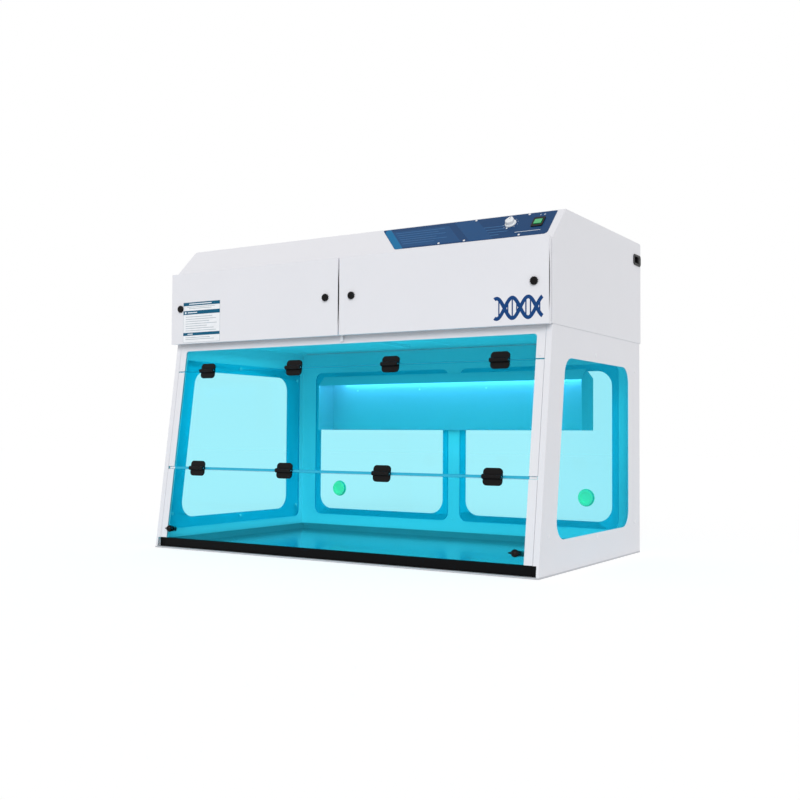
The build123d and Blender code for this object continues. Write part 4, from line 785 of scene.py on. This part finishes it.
class CABINET_OT_control_prints(bpy.types.Operator):
    """Prints the control film: light strip, fields, rows, dial marks and switch marks"""

    bl_idname = "cabinet.control_prints"
    bl_label = "Prints on the control film"

    def execute(self, context):
        film = ("cabinet", "panel_film_blue")
        dress(sheet(STRIP_OUTLINE, SLOPE, FILM_T, STRIP_T), "control_strip", "accent_ink", *film)
        fields = [self.field(*FIELD_X, FILM_TOP - FIELD_EDGE, FILM_FOOT + FIELD_EDGE, FILM_LEAN)]
        row_lean = FILM_LEAN * (ROW_FIELD_Y[0] - ROW_FIELD_Y[1]) / FILM_H
        fields.append(self.field(*ROW_FIELD_X, *ROW_FIELD_Y, row_lean))
        dress_joined(fields, "control_fields", "field_ink", *film)
        rows = self.rows(*LEFT_ROWS, ROW_FIELD_Y[0], 1.0) + self.rows(*RIGHT_ROWS, FILM_TOP, RIGHT_FOLLOW)
        dress_joined(rows, "control_rows", "faint_ink", *film)
        marks = [bar(SLOPE, *UNDERLINE, FILM_T, FINE_MARK_T)]
        marks.append(sheet(self.disc(*DIAL_DOT), SLOPE, FILM_T, MARK_T))
        for index in range(DIAL_TICKS):
            turned = math.radians(DIAL_START + DIAL_STEP * index)
            marks.append(self.tick(turned, DIAL_FAR + TICK_GROWTH * index))
        marks += [sheet(self.disc(*OFF_RING), SLOPE, FILM_T, MARK_T), bar(SLOPE, *ON_BAR, FILM_T, MARK_T)]
        dress_joined(marks, "control_marks", "pale_ink", "cabinet", "knob_white")
        centre = sheet(self.disc(*OFF_CENTRE), SLOPE, FILM_T + MARK_T, MARK_T / 2)
        dress(centre, "off_mark_centre", "panel_film_blue", *film)
        return {"FINISHED"}

    def field(self, x0, x1, y1, y0, lean):
        """Leaning field from its top corners and its lower height"""
        return sheet([(x0 - lean, y0), (x1 - lean, y0), (x1, y1), (x0, y1)], SLOPE, FILM_T, FIELD_T)

    def rows(self, left, first, step, lengths, lift, top, follow):
        """Bars of print one below the other, whose left ends follow the lean of the film"""
        bars = []
        for index, length in enumerate(lengths):
            y = first - step * index
            x = left - FILM_LEAN * (top - y) / FILM_H * follow
            bars.append(bar(SLOPE, x, x + length, y - ROW_HALF, y + ROW_HALF, lift, ROW_T))
        return bars

    def disc(self, x, y, radius):
        """Ring of 20 points"""
        turns = [a * math.pi / 10 for a in range(20)]
        return [(x + radius * math.cos(turn), y + radius * math.sin(turn)) for turn in turns]

    def tick(self, turned, far):
        """Dial tick, turned clockwise from the top"""
        way = Vector((math.sin(turned), math.cos(turned)))
        side = Vector((way.y, -way.x)) * TICK_HALF
        near_end = Vector(DIAL) + way * DIAL_NEAR
        far_end = Vector(DIAL) + way * far
        corners = (near_end - side, near_end + side, far_end + side, far_end - side)
        return sheet([(c.x, c.y) for c in corners], SLOPE, FILM_T, FINE_MARK_T)


# Pointer knob, in mm: its foot above the slope, its skirt, its drop-shaped grip and the line on it
POINTER_LOW = 0.75
SKIRT_R = 15
SKIRT_T = 2.9
SKIRT_SOFT = 0.9
GRIP_R = 11.4
GRIP_T = 9.6
GRIP_SOFT = 1.8
TIP_REACH = 3.5
TIP_SHARPNESS = 7
POINTER_LINE = (-0.6, 0.6, 4, 12.2)
POINTER_LINE_T = 0.1


class CABINET_OT_pointer_knob(bpy.types.Operator):
    """Models the white drop-shaped knob of the fan speed"""

    bl_idname = "cabinet.pointer_knob"
    bl_label = "Pointer knob"

    def execute(self, context):
        x, y = DIAL
        around = [2 * math.pi * a / 64 for a in range(64)]
        skirt = [(x + SKIRT_R * math.sin(a), y + SKIRT_R * math.cos(a)) for a in around]
        drop = [(x + self.reach(a) * math.sin(a), y + self.reach(a) * math.cos(a)) for a in around]
        pieces = [sheet(skirt, SLOPE, POINTER_LOW, SKIRT_T, soft=SKIRT_SOFT, steps=3)]
        pieces.append(sheet(drop, SLOPE, POINTER_LOW + SKIRT_T, GRIP_T, soft=GRIP_SOFT, steps=4))
        knob = dress_joined(pieces, "speed_pointer_knob", "knob_white", "speed_knob", "knob_white")
        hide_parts("control_knob")
        left, right, low, high = POINTER_LINE
        top = POINTER_LOW + SKIRT_T + GRIP_T
        line = bar(SLOPE, x + left, x + right, y + low, y + high, top, POINTER_LINE_T)
        dress(line, "speed_pointer_line", "bezel_black", "speed_knob", "bezel_black")
        return {"FINISHED"}

    def reach(self, turned):
        """Outline of the drop: round at the back and drawn out to a tip at the top"""
        return GRIP_R + TIP_REACH * max(0.0, math.cos(turned)) ** TIP_SHARPNESS


class CABINET_OT_stage(bpy.types.Operator):
    """Sets the white floor, the studio light, the light of the lamp unit and the camera"""

    bl_idname = "cabinet.stage"
    bl_label = "Floor, light and camera"

    def execute(self, context):
        self.floor()
        self.world(context.scene)
        self.key_light()
        # The lamp colours the whole chamber, and its light comes out between the ceiling and the work surface
        self.chamber_box("chamber_light", Vector((0, -0.02, 0.585)), Vector((0, -0.02, 0)),
            sizes().lamp_power)
        self.chamber_box("chamber_fill", Vector((0, 0.0, 0.24)), Vector((0, 0.0, 0.6)), sizes().fill_power)
        self.camera(context.scene)
        return {"FINISHED"}

    def floor(self):
        """Plain white floor: it glows a little for what looks at it, and still takes the cabinet's shadow"""
        bpy.ops.object.select_all(action="DESELECT")
        bpy.ops.mesh.primitive_plane_add(size=30, location=(0, 0, 0))
        floor = bpy.context.active_object
        floor.name = "floor"
        material, tree, output = new_material("studio_floor_white")
        seen = any_ray(tree, *SEEING_RAYS)
        paint = between(tree, seen, (FLOOR_BOUNCE,) * 3, (FLOOR_SEEN,) * 3)
        matt = add(tree, "ShaderNodeBsdfDiffuse", inputs={"Color": paint})
        glow = math_node(tree, "MULTIPLY", seen, FLOOR_GLOW)
        light = add(tree, "ShaderNodeEmission", inputs={"Strength": glow})
        both = add(tree, "ShaderNodeAddShader", inputs={0: matt.outputs[0], 1: light.outputs[0]})
        tree.links.new(both.outputs[0], output.inputs["Surface"])
        floor.data.materials.append(material)

    def world(self, scene):
        """Even studio light, with a white background for what looks at it"""
        world = bpy.data.worlds.new("studio")
        scene.world = world
        world.use_nodes = True
        tree = world.node_tree
        tree.nodes.clear()
        output = tree.nodes.new("ShaderNodeOutputWorld")
        strength = spread(tree, any_ray(tree, *SEEING_RAYS), WORLD_LIGHT, 1.0)
        light = add(tree, "ShaderNodeBackground", inputs={"Color": (1, 1, 1, 1), "Strength": strength})
        tree.links.new(light.outputs[0], output.inputs["Surface"])

    def key_light(self):
        """Far key light over the camera's shoulder, so that the front and the right side are lit evenly"""
        data = bpy.data.lights.new("key_light", "SUN")
        data.energy = KEY_ENERGY
        data.angle = KEY_ANGLE
        lamp = bpy.data.objects.new("key_light", data)
        bpy.context.scene.collection.objects.link(lamp)
        lamp.rotation_euler = KEY_WAY.to_track_quat("-Z", "Y").to_euler()

    def chamber_box(self, name, at, aim, power):
        """Area lamp inside the chamber that looks at a point and isn't seen itself"""
        data = bpy.data.lights.new(name, "AREA")
        data.shape = "RECTANGLE"
        data.size, data.size_y = CHAMBER_LIGHT_SIZE
        data.energy = power
        data.color = CHAMBER_GLOW
        lamp = bpy.data.objects.new(name, data)
        bpy.context.scene.collection.objects.link(lamp)
        lamp.location = at
        lamp.rotation_euler = (aim - at).to_track_quat("-Z", "Y").to_euler()
        lamp.visible_camera = False
        lamp.visible_glossy = False

    def camera(self, scene):
        """Camera fitted to 18 points of the cabinet in the photograph, its height and depth being given"""
        yaw, pitch, roll = 0.5585, 0.0348, 0.0062
        data = bpy.data.cameras.new("camera")
        data.lens = 46.5156
        data.sensor_width = 36
        data.clip_end = 100
        camera = bpy.data.objects.new("camera", data)
        scene.collection.objects.link(camera)
        ahead = Vector((-math.sin(yaw) * math.cos(pitch), math.cos(yaw) * math.cos(pitch), math.sin(pitch)))
        right = Vector((math.cos(yaw), math.sin(yaw), 0))
        up = right.cross(ahead)
        across = right * math.cos(roll) + up * math.sin(roll)
        rise = -right * math.sin(roll) + up * math.cos(roll)
        at = Vector((1.6017, -2.5441, 0.3290))
        camera.matrix_world = Matrix((
            (across.x, rise.x, -ahead.x, at.x),
            (across.y, rise.y, -ahead.y, at.y),
            (across.z, rise.z, -ahead.z, at.z),
            (0, 0, 0, 1),
        ))
        scene.camera = camera
        scene.view_settings.view_transform = "Standard"


OPERATORS = (
    CABINET_OT_finishes,
    CABINET_OT_frame_sheets,
    CABINET_OT_seals,
    CABINET_OT_small_parts,
    CABINET_OT_cover_prints,
    CABINET_OT_control_prints,
    CABINET_OT_pointer_knob,
    CABINET_OT_stage,
)


class CABINET_PT_panel(bpy.types.Panel):
    """Lists the steps that dress the cabinet"""

    bl_idname = "CABINET_PT_panel"
    bl_label = "PCR bench cabinet"
    bl_space_type = "VIEW_3D"
    bl_region_type = "UI"
    bl_category = "Cabinet"

    def draw(self, context):
        for operator in OPERATORS:
            self.layout.operator(operator.bl_idname)


CLASSES = (CabinetColours, CabinetSizes) + OPERATORS + (CABINET_PT_panel,)


def register():
    for one in CLASSES:
        bpy.utils.register_class(one)
    bpy.types.Scene.cabinet_colours = bpy.props.PointerProperty(type=CabinetColours)
    bpy.types.Scene.cabinet_sizes = bpy.props.PointerProperty(type=CabinetSizes)


def unregister():
    del bpy.types.Scene.cabinet_sizes
    del bpy.types.Scene.cabinet_colours
    for one in reversed(CLASSES):
        bpy.utils.unregister_class(one)


def main():
    register()
    for operator in OPERATORS:
        group, step = operator.bl_idname.split(".")
        getattr(getattr(bpy.ops, group), step)()


if __name__ == "__main__":
    main()
